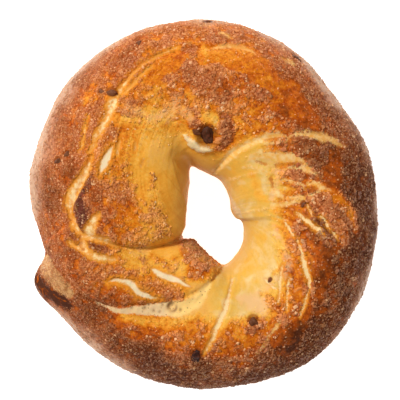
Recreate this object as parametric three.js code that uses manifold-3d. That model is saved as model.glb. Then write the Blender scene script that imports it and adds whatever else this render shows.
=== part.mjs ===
// A cinnamon-sugar bagel: a rope of dough closed into a ring, whose end wraps round the outside, passes under the
// swollen inner lobe and stops at the hole. Millimetres, +Z up, +Y away from the eater, flat base on z = 0.
import * as THREE from "three";
import { mergeVertices } from "three/addons/utils/BufferGeometryUtils.js";
import Module from "manifold-3d";

// ---- Plan of the ring -------------------------------------------------------------------------------------------

// Outer side: bearing in degrees, anticlockwise from +X, and radius round the origin. The bump near 208 degrees is
// the rope's other end, which sticks out of the side.
const OUTER_RADII = [
  [0, 54.6], [20, 54.0], [40, 53.0], [60, 55.6], [90, 57.5], [120, 57.7], [140, 56.5], [160, 55.0], [172, 54.7],
  [183, 53.0], [192, 51.8], [198, 52.8], [204, 56.8], [209, 58.2], [216, 57.1], [226, 56.5], [250, 57.5],
  [280, 58.2], [308, 59.5], [330, 57.4], [350, 54.8],
];

// The hole's narrowest outline, anticlockwise from its right side, and the point its bearings are taken from.
const HOLE_CENTRE = [2.7, -4.7];
const HOLE_OUTLINE = [
  [10.2, -4.7], [8.6, -1.9], [8.3, 1.3], [7.3, 4.4], [5.2, 7.5], [2.0, 9.1], [-1.1, 10.6], [-3.9, 11.3],
  [-4.2, 5.9], [-4.8, -0.3], [-5.5, -6.6], [-6.1, -10.6], [-3.0, -11.3], [-1.1, -13.1], [2.3, -16.6],
  [6.4, -19.7], [10.2, -16.3], [11.7, -13.8], [12.7, -9.7], [12.0, -5.6],
];

// ---- Cross section of the ring ----------------------------------------------------------------------------------

// By bearing: height of the crown, where it lies between the hole (0) and the outer side (1), and how square the
// shoulder between crown and hole is, as a superellipse's exponent.
const CROWN_HEIGHT = [[0, 36.0], [45, 37.0], [90, 38.0], [135, 38.5], [180, 38.0], [225, 35.5], [270, 35.5], [315, 36.0]];
const CROWN_PLACE = [[0, 0.57], [90, 0.5], [180, 0.47], [225, 0.5], [270, 0.53], [315, 0.57]];
const INNER_SQUARENESS = [
  [0, 2.0], [60, 2.1], [105, 2.5], [150, 2.7], [200, 2.8], [235, 3.8], [265, 3.6], [287, 2.3], [320, 2.0],
];
const OUTER_SQUARENESS = 2.05;
const LOWER_SQUARENESS = 2.1;
const INNER_EQUATOR = 18; // height of the hole's narrowest outline
const OUTER_EQUATOR = 17; // height of the ring's widest outline
const BASE_INNER = 0.24; // the flat base's edges, between the hole (0) and the outer side (1)
const BASE_OUTER = 0.76;

// ---- Relief: folds where one stretch of dough lies over another ---------------------------------------------------

// Each fold is a route over the crown. The dough to the right of the route's direction stands higher by step, and
// the crease between is cut down by crease. Columns: x, y, step, crease.
const LOBE_FOLD = {
  shoulder: 1.8,
  fade: 14,
  creaseWidth: 1.3,
  route: [
    [-3.5, -9.9, 0, 0], [-6.1, -10.6, 3.2, 1.2], [-10.5, -12.5, 3.2, 1.2], [-16.7, -13.9, 3.0, 1.0],
    [-23.0, -13.9, 2.8, 0.7], [-28.6, -12.8, 2.4, 0.5], [-33.6, -10.9, 2.1, 0.5], [-37.3, -9.4, 1.9, 0.8],
    [-39.5, -7.5, 1.7, 1.0], [-41.1, -4.4, 1.5, 1.2], [-42.3, -0.9, 1.3, 1.2], [-40.5, 3.4, 1.1, 1.2],
    [-37.3, 8.1, 1.0, 1.0], [-34.8, 13.8, 0.9, 0.8], [-32.3, 20.0, 0.8, 0.8], [-30.2, 26.9, 0.8, 0.8],
    [-27.0, 33.1, 0.7, 0.7], [-24.8, 37.2, 0.6, 0.6], [-19.8, 42.8, 0.5, 0.6], [-12.0, 46.6, 0.3, 0.5],
    [-4.2, 48.1, 0.2, 0.4], [5.2, 49.2, 0.2, 0.5], [14.5, 48.1, 0.2, 0.4], [22.3, 45.0, 0.1, 0.2],
    [28.6, 41.3, 0, 0],
  ],
};
const TAIL_FOLD = {
  shoulder: 1.8,
  fade: 12,
  creaseWidth: 1.6,
  route: [
    [8.2, -18.2, 0, 0], [6.4, -19.7, 3.2, 1.0], [3.9, -23.4, 3.0, 1.0], [0.5, -26.6, 2.6, 1.2],
    [-4.2, -28.8, 2.2, 1.6], [-10.5, -30.3, 2.0, 1.8], [-16.7, -31.4, 1.8, 1.8], [-24.5, -32.0, 1.6, 1.4],
    [-30.8, -31.6, 1.6, 1.0], [-35.5, -29.7, 1.8, 0.6], [-39.2, -26.3, 2.2, 0.6], [-43.0, -22.2, 2.6, 0.6],
    [-46.1, -19.1, 3.0, 0.6], [-48.9, -15.9, 3.0, 0.6], [-51.1, -12.8, 0, 0],
  ],
};
const HOLE_CREASE = {
  shoulder: 1.6,
  fade: 10,
  creaseWidth: 2.4,
  route: [[-3.0, 10.0, 0, 2.4], [-4.2, 11.3, 0, 2.2], [-7.3, 13.6, 0, 1.6], [-10.5, 16.2, 0, 0.8], [-14.5, 18.5, 0, 0]],
};
const RIGHT_FOLD = {
  shoulder: 1.4,
  fade: 9,
  creaseWidth: 1.2,
  route: [
    [3.0, 9.4, 0.6, 0.8], [5.8, 12.2, 0.8, 0.8], [8.9, 15.3, 0.9, 0.8], [13.0, 17.8, 0.9, 0.7],
    [18.3, 20.0, 0.7, 0.6], [26.4, 21.3, 0.5, 0.5], [36.4, 21.3, 0.3, 0.5], [41.1, 19.4, 0, 0],
  ],
};
const FOLDS = [LOBE_FOLD, TAIL_FOLD, HOLE_CREASE, RIGHT_FOLD];

// Relief starts where the crust's upward share of normal passes the first value and is full past the second.
const LIFTED_SLOPES = [0, 0.5];

// Long, low swellings all over the dough: amplitude, and turns per millimetre along x and y for two crossed waves.
const SWELLINGS = [
  [0.7, [0.11, 0.07, 1.0], [-0.05, 0.09, 2.0]],
  [0.35, [0.21, -0.13, 0.5], [0.16, 0.19, 1.1]],
];

// ---- Raisin bits baked into the crust: place, half length, half width, bearing of the length --------------------
const BITS = [
  { x: 1.3, y: 21.9, length: 2.6, width: 2.2, bearing: 110 },
  { x: -2.0, y: -47.3, length: 2.0, width: 1.4, bearing: 80 },
  { x: 15.4, y: -36.6, length: 1.6, width: 1.2, bearing: 120 },
  { x: -28.6, y: 35.2, length: 1.9, width: 1.0, bearing: 170 },
  { x: -20.6, y: 50.2, length: 1.2, width: 0.9, bearing: 70 },
  { x: -45.5, y: 13.4, length: 1.1, width: 0.9, bearing: 60 },
  { x: -42.6, y: 15.2, length: 1.3, width: 0.9, bearing: 80 },
  { x: 31.1, y: -0.1, length: 1.3, width: 0.9, bearing: 130 },
];
const BIT_SIDES = 7;
const BIT_RINGS = 5;
const BIT_RISE = 0.35; // of a bit's half width, how far its middle stands above the crust

// ---- Mesh density ----------------------------------------------------------------------------------------------
const SECTIONS = 132;
const CROWDED_BEARING = 225; // the folds meet here, so sections lie closer by this share
const CROWDING = 0.3;
const SECTION_POINTS = 38;
const QUARTER_STEPS = 48;
const SIDE_SHARE = 0.65; // how closely points lie on the lower sides and the base, against 1 on top
const BASE_SHARE = 0.3;
const ROUTE_STEPS = 6;

const radians = THREE.MathUtils.degToRad;

// A smooth closed function of bearing through [degrees, value] pairs.
function aroundRing(pairs) {
  const count = pairs.length;
  const key = (i) => {
    const lap = Math.floor(i / count);
    return [pairs[i - lap * count][0] + lap * 360, pairs[i - lap * count][1]];
  };
  const slope = (i) => (key(i + 1)[1] - key(i - 1)[1]) / (key(i + 1)[0] - key(i - 1)[0]);
  return (degrees) => {
    const bearing = THREE.MathUtils.euclideanModulo(degrees - pairs[0][0], 360) + pairs[0][0];
    let i = 0;
    while (i < count - 1 && key(i + 1)[0] <= bearing) i += 1;
    const span = key(i + 1)[0] - key(i)[0];
    const t = (bearing - key(i)[0]) / span;
    const rise = t * t * (3 - 2 * t);
    const start = t * (1 - t) * (1 - t) * span;
    const end = t * t * (t - 1) * span;
    return key(i)[1] * (1 - rise) + key(i + 1)[1] * rise + slope(i) * start + slope(i + 1) * end;
  };
}

// The hole's outline as [bearing, radius] pairs in order of bearing.
function holeRadii() {
  const pairs = HOLE_OUTLINE.map(([x, y]) => {
    const [dx, dy] = [x - HOLE_CENTRE[0], y - HOLE_CENTRE[1]];
    return [THREE.MathUtils.euclideanModulo(Math.atan2(dy, dx) / radians(1), 360), Math.hypot(dx, dy)];
  });
  return pairs.sort((a, b) => a[0] - b[0]);
}

const outerRadius = aroundRing(OUTER_RADII);
const holeRadius = aroundRing(holeRadii());
const crownHeight = aroundRing(CROWN_HEIGHT);
const crownPlace = aroundRing(CROWN_PLACE);
const innerSquareness = aroundRing(INNER_SQUARENESS);

// A quarter of a superellipse from (1, 0) to (0, 1).
function quarter(squareness) {
  return Array.from({ length: QUARTER_STEPS + 1 }, (_, i) => {
    const turn = (i / QUARTER_STEPS) * (Math.PI / 2);
    return [Math.cos(turn) ** (2 / squareness), Math.sin(turn) ** (2 / squareness)];
  });
}

// The section at a bearing as [place across the ring, height, share of points] from the hole's outline over the
// crown to the outer side, then under the base and back.
function sectionProfile(bearing) {
  const crown = crownPlace(bearing);
  const top = crownHeight(bearing);
  const overIn = quarter(innerSquareness(bearing)).map(([a, b]) => [
    crown * (1 - a), INNER_EQUATOR + (top - INNER_EQUATOR) * b, 1,
  ]);
  const overOut = quarter(OUTER_SQUARENESS).reverse().map(([a, b]) => [
    crown + (1 - crown) * a, OUTER_EQUATOR + (top - OUTER_EQUATOR) * b, 1,
  ]);
  const underOut = quarter(LOWER_SQUARENESS).map(([a, b]) => [
    BASE_OUTER + (1 - BASE_OUTER) * a, OUTER_EQUATOR * (1 - b), SIDE_SHARE,
  ]);
  const underIn = quarter(LOWER_SQUARENESS).reverse().map(([a, b]) => [
    BASE_INNER * (1 - a), INNER_EQUATOR * (1 - b), SIDE_SHARE,
  ]);
  underIn[0][2] = BASE_SHARE;
  return [...overIn, ...overOut.slice(1), ...underOut.slice(1), ...underIn];
}

// SECTION_POINTS points of the ring's surface in the vertical plane at a bearing.
function section(bearing) {
  const [cos, sin] = [Math.cos(radians(bearing)), Math.sin(radians(bearing))];
  const hole = holeRadius(bearing);
  const outer = outerRadius(bearing);
  const inside = new THREE.Vector2(HOLE_CENTRE[0] + hole * cos, HOLE_CENTRE[1] + hole * sin);
  const outside = new THREE.Vector2(outer * cos, outer * sin);
  const width = inside.distanceTo(outside);
  const profile = sectionProfile(bearing);
  const along = [0];
  for (let i = 1; i < profile.length; i += 1) {
    const [across, rise] = [(profile[i][0] - profile[i - 1][0]) * width, profile[i][1] - profile[i - 1][1]];
    along.push(along[i - 1] + Math.hypot(across, rise) * profile[i][2]);
  }
  const points = [];
  let i = 1;
  for (let k = 0; k < SECTION_POINTS; k += 1) {
    const wanted = (along[along.length - 1] * k) / SECTION_POINTS;
    while (along[i] < wanted) i += 1;
    const t = (wanted - along[i - 1]) / (along[i] - along[i - 1]);
    const place = THREE.MathUtils.lerp(profile[i - 1][0], profile[i][0], t);
    const height = THREE.MathUtils.lerp(profile[i - 1][1], profile[i][1], t);
    points.push([...inside.clone().lerp(outside, place).toArray(), height]);
  }
  return points;
}

// A fold's route as a fine polyline: x, y, step and crease at each point.
function fineRoute(route) {
  const plan = new THREE.CatmullRomCurve3(route.map(([x, y]) => new THREE.Vector3(x, y, 0)));
  const last = route.length - 1;
  return Array.from({ length: last * ROUTE_STEPS + 1 }, (_, i) => {
    const place = i / ROUTE_STEPS;
    const from = Math.min(Math.floor(place), last - 1);
    const { x, y } = plan.getPoint(place / last);
    const mix = (column) => THREE.MathUtils.lerp(route[from][column], route[from + 1][column], place - from);
    return [x, y, mix(2), mix(3)];
  });
}

// How far a fold lifts or lowers the crust over (x, y).
function foldLift(fold, x, y) {
  let nearest = { distance: Infinity };
  for (let i = 1; i < fold.fine.length; i += 1) {
    const [ax, ay, stepA, creaseA] = fold.fine[i - 1];
    const [bx, by, stepB, creaseB] = fold.fine[i];
    const [dx, dy] = [bx - ax, by - ay];
    const t = THREE.MathUtils.clamp(((x - ax) * dx + (y - ay) * dy) / (dx * dx + dy * dy), 0, 1);
    const distance = Math.hypot(x - ax - t * dx, y - ay - t * dy);
    if (distance < nearest.distance) {
      const right = (x - ax) * dy - (y - ay) * dx > 0;
      nearest = { distance, right, step: stepA + t * (stepB - stepA), crease: creaseA + t * (creaseB - creaseA) };
    }
  }
  const { distance, right, step, crease } = nearest;
  const raised = right ? (1 - Math.exp(-distance / fold.shoulder)) * Math.exp(-distance / fold.fade) : 0;
  return step * raised - crease * Math.exp(-((distance / fold.creaseWidth) ** 2));
}

function swelling(x, y) {
  const wave = ([a, b, phase]) => Math.sin(a * x + b * y + phase);
  return SWELLINGS.reduce((sum, [size, one, other]) => sum + size * wave(one) * wave(other), 0);
}

// The ring of dough, with its folds, as one closed geometry.
function doughGeometry() {
  const position = [];
  for (let i = 0; i < SECTIONS; i += 1) {
    const even = (360 * i) / SECTIONS;
    const bearing = even - (CROWDING / radians(1)) * Math.sin(radians(even - CROWDED_BEARING));
    section(bearing).forEach((point) => position.push(...point));
  }
  const index = [];
  for (let i = 0; i < SECTIONS; i += 1) {
    for (let k = 0; k < SECTION_POINTS; k += 1) {
      const next = (i + 1) % SECTIONS;
      const up = (k + 1) % SECTION_POINTS;
      const [a, b] = [i * SECTION_POINTS + k, next * SECTION_POINTS + k];
      const [c, d] = [next * SECTION_POINTS + up, i * SECTION_POINTS + up];
      index.push(a, d, b, b, d, c);
    }
  }
  const geometry = new THREE.BufferGeometry();
  geometry.setAttribute("position", new THREE.Float32BufferAttribute(position, 3));
  geometry.setIndex(index);
  geometry.computeVertexNormals();
  FOLDS.forEach((fold) => {
    fold.fine = fineRoute(fold.route);
  });
  const places = geometry.attributes.position;
  const point = new THREE.Vector3();
  const normal = new THREE.Vector3();
  for (let i = 0; i < places.count; i += 1) {
    point.fromBufferAttribute(places, i);
    normal.fromBufferAttribute(geometry.attributes.normal, i);
    const relief = FOLDS.reduce((sum, fold) => sum + foldLift(fold, point.x, point.y), swelling(point.x, point.y));
    point.addScaledVector(normal, relief * THREE.MathUtils.smoothstep(normal.z, ...LIFTED_SLOPES));
    places.setXYZ(i, point.x, point.y, Math.max(point.z, 0));
  }
  geometry.deleteAttribute("normal");
  return geometry;
}

// ---- Joining ----------------------------------------------------------------------------------------------------
const wasm = await Module();
wasm.setup();

function solidOf(geometry) {
  const bare = geometry.clone();
  bare.deleteAttribute("normal");
  bare.deleteAttribute("uv");
  const merged = mergeVertices(bare, 1e-4);
  return new wasm.Manifold(new wasm.Mesh({
    numProp: 3,
    vertProperties: new Float32Array(merged.attributes.position.array),
    triVerts: new Uint32Array(merged.index.array),
  }));
}

function geometryOf(solid) {
  const { vertProperties, triVerts } = solid.getMesh();
  const geometry = new THREE.BufferGeometry();
  geometry.setAttribute("position", new THREE.BufferAttribute(vertProperties, 3));
  geometry.setIndex(new THREE.BufferAttribute(triVerts, 1));
  return geometry;
}

// One raisin bit, half sunk in the crust that a ray from above meets.
function bitGeometry({ x, y, length, width, bearing }, dough) {
  const above = new THREE.Raycaster(new THREE.Vector3(x, y, 100), new THREE.Vector3(0, 0, -1));
  const { point, face } = above.intersectObject(dough)[0];
  const tilt = new THREE.Quaternion().setFromUnitVectors(new THREE.Vector3(0, 0, 1), face.normal);
  return new THREE.SphereGeometry(1, BIT_SIDES, BIT_RINGS)
    .rotateX(Math.PI / 2)
    .scale(length, width, width)
    .rotateZ(radians(bearing))
    .applyQuaternion(tilt)
    .translate(...point.addScaledVector(face.normal, width * (BIT_RISE - 0.5)).toArray());
}

const crust = new THREE.MeshStandardMaterial({ color: 0xb8682c, roughness: 0.6, metalness: 0 });
const plainDough = new THREE.Mesh(doughGeometry(), crust);
const joined = BITS.map((bit) => bitGeometry(bit, plainDough)).reduce(
  (solid, bit) => solid.add(solidOf(bit)),
  solidOf(plainDough.geometry),
);

const bagel = new THREE.Mesh(geometryOf(joined), crust);
bagel.name = "bagel";
bagel.geometry.computeBoundingBox();
const { min, max } = bagel.geometry.boundingBox;
bagel.position.set(-(min.x + max.x) / 2, -(min.y + max.y) / 2, 0);

const group = new THREE.Group();
group.add(bagel);

export default group;
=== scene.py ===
"""The look of a cinnamon-sugar bagel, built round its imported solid.

The dough is the solid's ring, worked out again on a fine grid. Its outline and its hole are set up
to a millimetre off the solid's, after the photograph, and its folds are lower and sharper. It has
what the solid leaves out: sharp seams, a torn strip of crumb, split crust, pores and lumps. Marks
on the crust are named strokes in the photograph's pixels, laid on the dough as the camera above
sees it. Each vertex keeps how baked, sugared, torn or burnt its place is, and the crust's material
reads that. Sugar crystals, cinnamon crumbs and raisin bits are real meshes on the crust.

The form is worked out in millimetres, and the finished meshes are in metres.
"""

import math

import bmesh
import bpy
import numpy as np
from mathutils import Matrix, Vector


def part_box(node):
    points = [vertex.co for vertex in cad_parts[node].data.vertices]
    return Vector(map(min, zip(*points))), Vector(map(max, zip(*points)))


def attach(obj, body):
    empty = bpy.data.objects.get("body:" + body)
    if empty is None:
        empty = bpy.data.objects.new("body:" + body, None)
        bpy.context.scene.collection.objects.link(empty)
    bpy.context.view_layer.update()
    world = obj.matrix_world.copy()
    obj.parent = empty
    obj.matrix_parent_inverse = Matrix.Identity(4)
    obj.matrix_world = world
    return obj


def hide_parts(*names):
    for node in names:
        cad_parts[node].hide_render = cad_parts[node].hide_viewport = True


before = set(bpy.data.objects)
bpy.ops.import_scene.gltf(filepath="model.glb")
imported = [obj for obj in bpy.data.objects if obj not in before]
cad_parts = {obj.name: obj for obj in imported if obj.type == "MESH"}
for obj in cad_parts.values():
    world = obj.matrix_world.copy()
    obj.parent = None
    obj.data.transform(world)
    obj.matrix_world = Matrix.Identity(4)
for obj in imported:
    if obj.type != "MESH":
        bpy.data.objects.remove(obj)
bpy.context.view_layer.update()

MM = 0.001

# ---- The photograph's frame ----
PIXEL = 0.3125  # mm that one pixel spans at the outline's height
IMAGE_SIDE = 400
OBJECT_CENTRE = (203.5, 204.0)  # the pixel over the part's origin
OUTLINE_HEIGHT = 17.5
LENS = 400.0
SENSOR = 36.0
CAMERA_HEIGHT = OUTLINE_HEIGHT + IMAGE_SIDE * PIXEL * LENS / SENSOR
CAMERA_PLACE = (
    (IMAGE_SIDE / 2 - OBJECT_CENTRE[0]) * PIXEL,
    (OBJECT_CENTRE[1] - IMAGE_SIDE / 2) * PIXEL,
)

# ---- Form of the ring ----
# As in the solid, except the outer radii, the hole's outline and the folds.
OUTER_RADII = [
    (0, 54.5), (20, 53.8), (40, 53), (60, 55.5), (90, 57.2), (120, 57.1), (140, 56.4), (160, 55),
    (172, 54.7), (183, 53.1), (192, 51.7), (198, 52.2), (204, 57.8), (209, 58.4), (216, 57.2),
    (226, 56.8), (250, 57.6), (280, 58), (308, 59.4), (330, 57.3), (350, 54.8),
]
HOLE_CENTRE = (2.7, -4.7)
HOLE_OUTLINE = [
    (9.9, -4.7), (8.6, -1.9), (8.3, 1.3), (7.2, 4.2), (5, 7.2), (2, 8.7), (-1.1, 10.2), (-3.9, 11),
    (-4.2, 5.9), (-4.9, -0.3), (-5.6, -6.6), (-6.3, -10.8), (-3.1, -11.6), (-1.3, -13.4), (2.1, -16.8),
    (6.4, -19.4), (10.2, -16.2), (11.6, -13.8), (12.4, -9.7), (11.7, -5.6),
]
CROWN_HEIGHT = [
    (0, 36), (45, 37), (90, 38), (135, 38.5), (180, 38), (225, 35.5), (270, 35.5), (315, 36),
]
CROWN_PLACE = [(0, 0.57), (90, 0.5), (180, 0.47), (225, 0.5), (270, 0.53), (315, 0.57)]
INNER_SQUARENESS = [
    (0, 2), (60, 2.1), (105, 2.5), (150, 2.7), (200, 2.8), (235, 3.8), (265, 3.6), (287, 2.3), (320, 2),
]
OUTER_SQUARENESS = 2.05
LOWER_SQUARENESS = 2.1
INNER_EQUATOR = 18.0
OUTER_EQUATOR = 17.0
BASE_INNER = 0.24
BASE_OUTER = 0.76

# Folds, where one stretch of dough lies over another: x, y, step, crease. The dough to the right of
# the route's direction stands higher by step, and the crease between is cut down by crease.
LOBE_FOLD = [
    (-3.5, -9.9, 0, 0), (-6.1, -10.6, 3.2, 1.2), (-10.5, -12.5, 3.2, 1.2), (-16.7, -13.9, 3, 1),
    (-23, -13.9, 2.8, 0.7), (-28.6, -12.8, 2, 0.3), (-33.6, -10.9, 1.4, 0.1), (-37.3, -9.4, 1.2, 0.2),
    (-39.5, -7.5, 1.2, 0.5), (-40.6, -4.4, 1.2, 0.7), (-41.2, -0.9, 1.3, 0.6), (-39.4, 3.4, 1.1, 0.6),
    (-37, 8.1, 1, 0.6), (-34.8, 13.8, 0.9, 0.6), (-32.3, 20, 0.8, 0.5), (-30.2, 26.9, 0.8, 0.5),
    (-27, 33.1, 0.7, 0.7), (-24.8, 37.2, 0.6, 0.6), (-19.8, 42.8, 0.5, 0.6), (-12, 46.6, 0.3, 0.5),
    (-4.2, 48.1, 0.2, 0.4), (5.2, 49.2, 0.2, 0.5), (14.5, 48.1, 0.2, 0.4), (22.3, 45, 0.1, 0.2),
    (28.6, 41.3, 0, 0),
]
TAIL_FOLD = [
    (8.2, -18.2, 0, 0), (6.4, -19.7, 1.3, 0.3), (3.9, -23.4, 1.2, 0.2), (0.5, -26.6, 1.1, 0.2),
    (-4.2, -28.8, 1.1, 0.2), (-10.5, -30.3, 1.2, 0.4), (-16.7, -31.4, 1.3, 0.8), (-24.5, -32, 1.3, 0.8),
    (-30.8, -31.6, 1.4, 0.7), (-35.5, -29.7, 1.8, 0.6), (-39.2, -26.3, 2.2, 0.6),
    (-43, -22.2, 2.6, 0.6), (-46.1, -19.1, 3, 0.6), (-48.9, -15.9, 3, 0.6), (-51.1, -12.8, 0, 0),
]
HOLE_CREASE = [
    (-3, 10, 0, 2.4), (-4.2, 11.3, 0, 2.2), (-6.4, 13, 0, 1.2), (-8.6, 14.6, 0, 0.4), (-10.5, 16, 0, 0),
]
RIGHT_FOLD = [
    (3, 9.4, 0.6, 0.7), (5.8, 12.2, 0.8, 0.6), (8.9, 15.3, 0.9, 0.5), (13, 17.8, 0.8, 0.4),
    (18.3, 20, 0.6, 0.3), (26.4, 21.3, 0.4, 0.3), (36.4, 21.3, 0.3, 0.3), (41.1, 19.4, 0, 0),
]
# Each fold with its shoulder (how wide the raised edge rounds off), its fade and its crease's half
# width.
FOLDS = [
    (LOBE_FOLD, 1.3, 14.0, 0.75),
    (TAIL_FOLD, 2.0, 12.0, 0.8),
    (HOLE_CREASE, 1.6, 10.0, 1.8),
    (RIGHT_FOLD, 1.2, 9.0, 0.8),
]
# Broad swellings: height, and for each of two waves its steps along x and y and its phase.
SWELLINGS = [
    (0.7, (0.11, 0.07, 1.0), (-0.05, 0.09, 2.0)),
    (0.35, (0.21, -0.13, 0.5), (0.16, 0.19, 1.1)),
]
LIFTED_SLOPES = (0.0, 0.5)  # the normal's upward share where relief starts, and where it is full
UPWARD = 0.05  # the least upward share on the side that the camera sees

# ---- Grid of the dough ----
RINGS = 520
RING_POINTS = 190
QUARTER_STEPS = 48
SIDE_SHARE = 0.3  # how closely points lie on the lower sides and the base, against 1 on top
BASE_SHARE = 0.12
CROWDED_BEARING = 225.0  # the folds meet here, so the grid is closer by this share
CROWDING = 0.25

# ---- Marks on the crust, in the photograph's pixels ----
# A stroke is a list of points x, y and width in mm, or one width and a list of points x, y.
# Splits show cream dough between browned edges.
SPLITS = {
    "left crack, foot": [(92, 158, 0.3), (87, 171, 2.2), (71, 199, 3.3), (70, 217, 0.4)],
    "left crack, link": [(96, 144, 0.8), (94, 147, 1.4), (90, 154, 0.2)],
    "left crack, middle": [
        (94, 142, 0.6), (99, 135, 2.1), (107, 120, 2.3), (112, 106, 3), (115, 100, 2.4), (118, 96, 0.7),
    ],
    "left crack, top": [(120, 93, 1.2), (124, 86, 1.4), (140, 67, 0.6), (164, 53, 0.4), (177, 48, 0.1)],
    "beside left crack": [(123, 97, 0.4), (140, 79, 0.7), (154, 65, 0.3)],
    "left line 1": (0.45, [(88, 117), (85, 131), (81, 152)]),
    "left line 2": (0.8, [(120, 142), (118, 149), (118, 157)]),
    "left line 3": (0.7, [(136, 143), (135, 151)]),
    "left line 4": (0.7, [(144, 159), (142, 168)]),
    "left line 5": (0.6, [(110, 172), (111, 184)]),
    "tip": [(71, 218, 0.6), (74, 222, 1.8), (77, 228, 2), (83, 237, 0.8)],
    "fork, upper": [(100, 215, 0.4), (96, 219, 1.7), (91, 231, 3.1), (90, 236, 3)],
    "fork, lower": [(86, 237, 1.8), (107, 242, 2), (118, 249, 0.4)],
    "under fork": [(83, 236, 1), (84, 243, 1.6), (91, 256, 2.5), (106, 260, 2.4), (115, 260, 1.2)],
    "outer line": [(72, 241, 0.4), (78, 247, 1.2), (84, 253, 0.4)],
    "bottom": [(232, 280, 0.3), (230, 292, 0.8), (223, 316, 1.7), (208, 348, 1), (205, 353, 0.3)],
    "right 1": [(296, 214, 0.2), (309, 223, 1.1), (314, 228, 0.9), (319, 231, 1), (323, 236, 0.2)],
    "right 2": [(307, 205, 0.3), (310, 211, 0.5), (313, 217, 0.2)],
    "right 3": [(321, 217, 0.3), (325, 221, 0.8), (330, 231, 0.3)],
    "right 4": (0.6, [(331, 231), (336, 240)]),
    "right 5": [(283, 220, 0.2), (291, 231, 1.1), (294, 237, 0.4)],
    "right 6": [(298, 240, 0.4), (307, 274, 1.2), (310, 290, 0.3)],
    "right 7": (0.55, [(309, 293), (306, 302), (301, 317)]),
    "right 8": (0.6, [(283, 266), (281, 276), (278, 303)]),
    "right 9": (0.6, [(289, 278), (288, 291), (287, 313)]),
    "right 10": (0.8, [(264, 279), (268, 284), (276, 290)]),
}
# Deeper splits, where the dough is still white.
WHITE_SPLITS = {
    "left patch": [(101, 177, 0.4), (105, 165, 2.8), (111, 152, 1.7), (113, 148, 0.4)],
    "tail, left": [
        (108, 282, 0.3), (116, 281, 1.3), (130, 284, 2.4), (140, 294, 2.6), (155, 299, 1.2),
        (162, 299, 0.2),
    ],
    "tail, right": [(147, 267, 0.4), (159, 275, 2.3), (175, 281, 2.4), (193, 289, 0.4)],
}
# Stretches are paler, golden dough with soft edges.
STRETCHES = {
    "right fold": [(212, 176, 0.6), (232, 156, 2.4), (255, 142, 2.2), (277, 135, 1.7), (289, 139, 0.3)],
    "right fold, outer": [(290, 136, 0.8), (309, 136, 2.2), (330, 141, 2), (345, 148, 0.3)],
    "swath 1": (0.6, [(262, 145), (277, 143), (288, 141)]),
    "swath 1, thin": (0.8, [(249, 158), (256, 154), (269, 150)]),
    "swath 2": [(250, 161, 0.5), (272, 157, 2.7), (288, 159, 3.1), (296, 160, 2.3), (311, 168, 0.5)],
    "swath 3": [(284, 170, 0.4), (298, 169, 1.3), (305, 170, 2.1), (324, 179, 0.3)],
    "swath 4": [(244, 167, 0.4), (256, 169, 1.2), (269, 174, 0.5)],
    "swath 5": [(281, 180, 0.4), (299, 185, 0.9), (305, 190, 0.3)],
    "swath 6": [(272, 207, 0.5), (293, 204, 1.5), (321, 191, 0.4)],
    "swath 7": [(308, 185, 0.4), (315, 185, 1.2), (330, 192, 0.5)],
    "swath 8": [(273, 191, 0.4), (279, 195, 1.4), (283, 200, 0.5)],
    "swath 9": [(287, 199, 0.5), (298, 199, 1.2), (308, 198, 0.6)],
    "hole line 1": (0.2, [(243, 213), (270, 209), (284, 206)]),
    "hole line 2": (0.3, [(228, 181), (255, 174), (268, 174)]),
    "bottom right": (0.7, [(284, 313), (278, 326), (269, 336), (262, 348), (256, 355)]),
    "top": [
        (214, 49, 0.3), (220, 47, 1), (228, 46, 1.4), (239, 48, 1.3), (249, 51, 0.9), (255, 56, 0.2),
    ],
    "top, thin": (0.8, [(219, 32), (226, 35), (232, 39)]),
    "top, right": (0.7, [(280, 57), (296, 66)]),
}
# Thin browned lines and spots, and a line of painted shadow under the tail's edge.
BROWN_LINES = {
    "painted shadow under the tail": (0.9, [(225, 265), (216, 276), (206, 286), (195, 292)]),
    "under the right fold": (0.7, [(266, 141), (281, 138), (289, 138)]),
    "swath 2, left": (1, [(256, 163), (262, 165), (268, 166)]),
    "swath 2, under": (1.4, [(274, 167), (286, 167)]),
    "swath 2, right": (1.1, [(285, 166), (294, 165), (305, 164)]),
    "lens": (1.3, [(304, 190), (319, 190)]),
    "speck": (1.3, [(271, 177), (274, 190)]),
    "by the under fork": (0.9, [(81, 236), (82, 244), (85, 252)]),
    "left of the left crack": (0.7, [(96, 126), (91, 137), (86, 150)]),
    "beside the foot": (0.8, [(66, 190), (63, 202), (63, 214)]),
    "beside split 6": (0.9, [(306, 246), (311, 262), (315, 280)]),
    "over the raisin, right": (0.8, [(217, 112), (222, 118), (224, 125)]),
}
# Areas, each with how uneven its edge is: the strip of crumb that tore open under the tail, the crumb
# at the hole's right edge, the pale lip of the raisin's pocket, the dark cinnamon in the crook of the
# left crack, and the rope end's burnt rim and pale top.
AREAS = {
    "tear": (1, [
        (94, 302, 0.2), (114, 310, 1.3), (134, 312, 2.3), (154, 310, 3.9), (174, 310, 4.2),
        (186, 308, 4), (197, 302, 3.4), (210, 285, 0.8),
    ]),
    "crumb_edge": (2, [(231, 193, 0.4), (238, 209, 2), (243, 221, 0.3)]),
    "lip": (2, [(185, 136, 1), (191, 143, 2.3), (199, 148, 2.5), (208, 150, 1.6), (212, 150, 0.4)]),
    "cinnamon": (3, [
        (93, 175, 0.5), (88, 186, 2), (80, 200, 3.2), (82, 211, 5), (83, 219, 4), (83, 226, 2.4),
        (83, 233, 0.8),
    ]),
    "burnt": (4, [(35, 269, 1), (37, 280, 2.2), (44, 290, 3.6), (63, 302, 3.2), (71, 307, 1.2)]),
    "rope_end": (0, [(46, 258, 2), (48, 270, 4.5), (57, 281, 5), (70, 293, 3.6)]),
}
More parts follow.
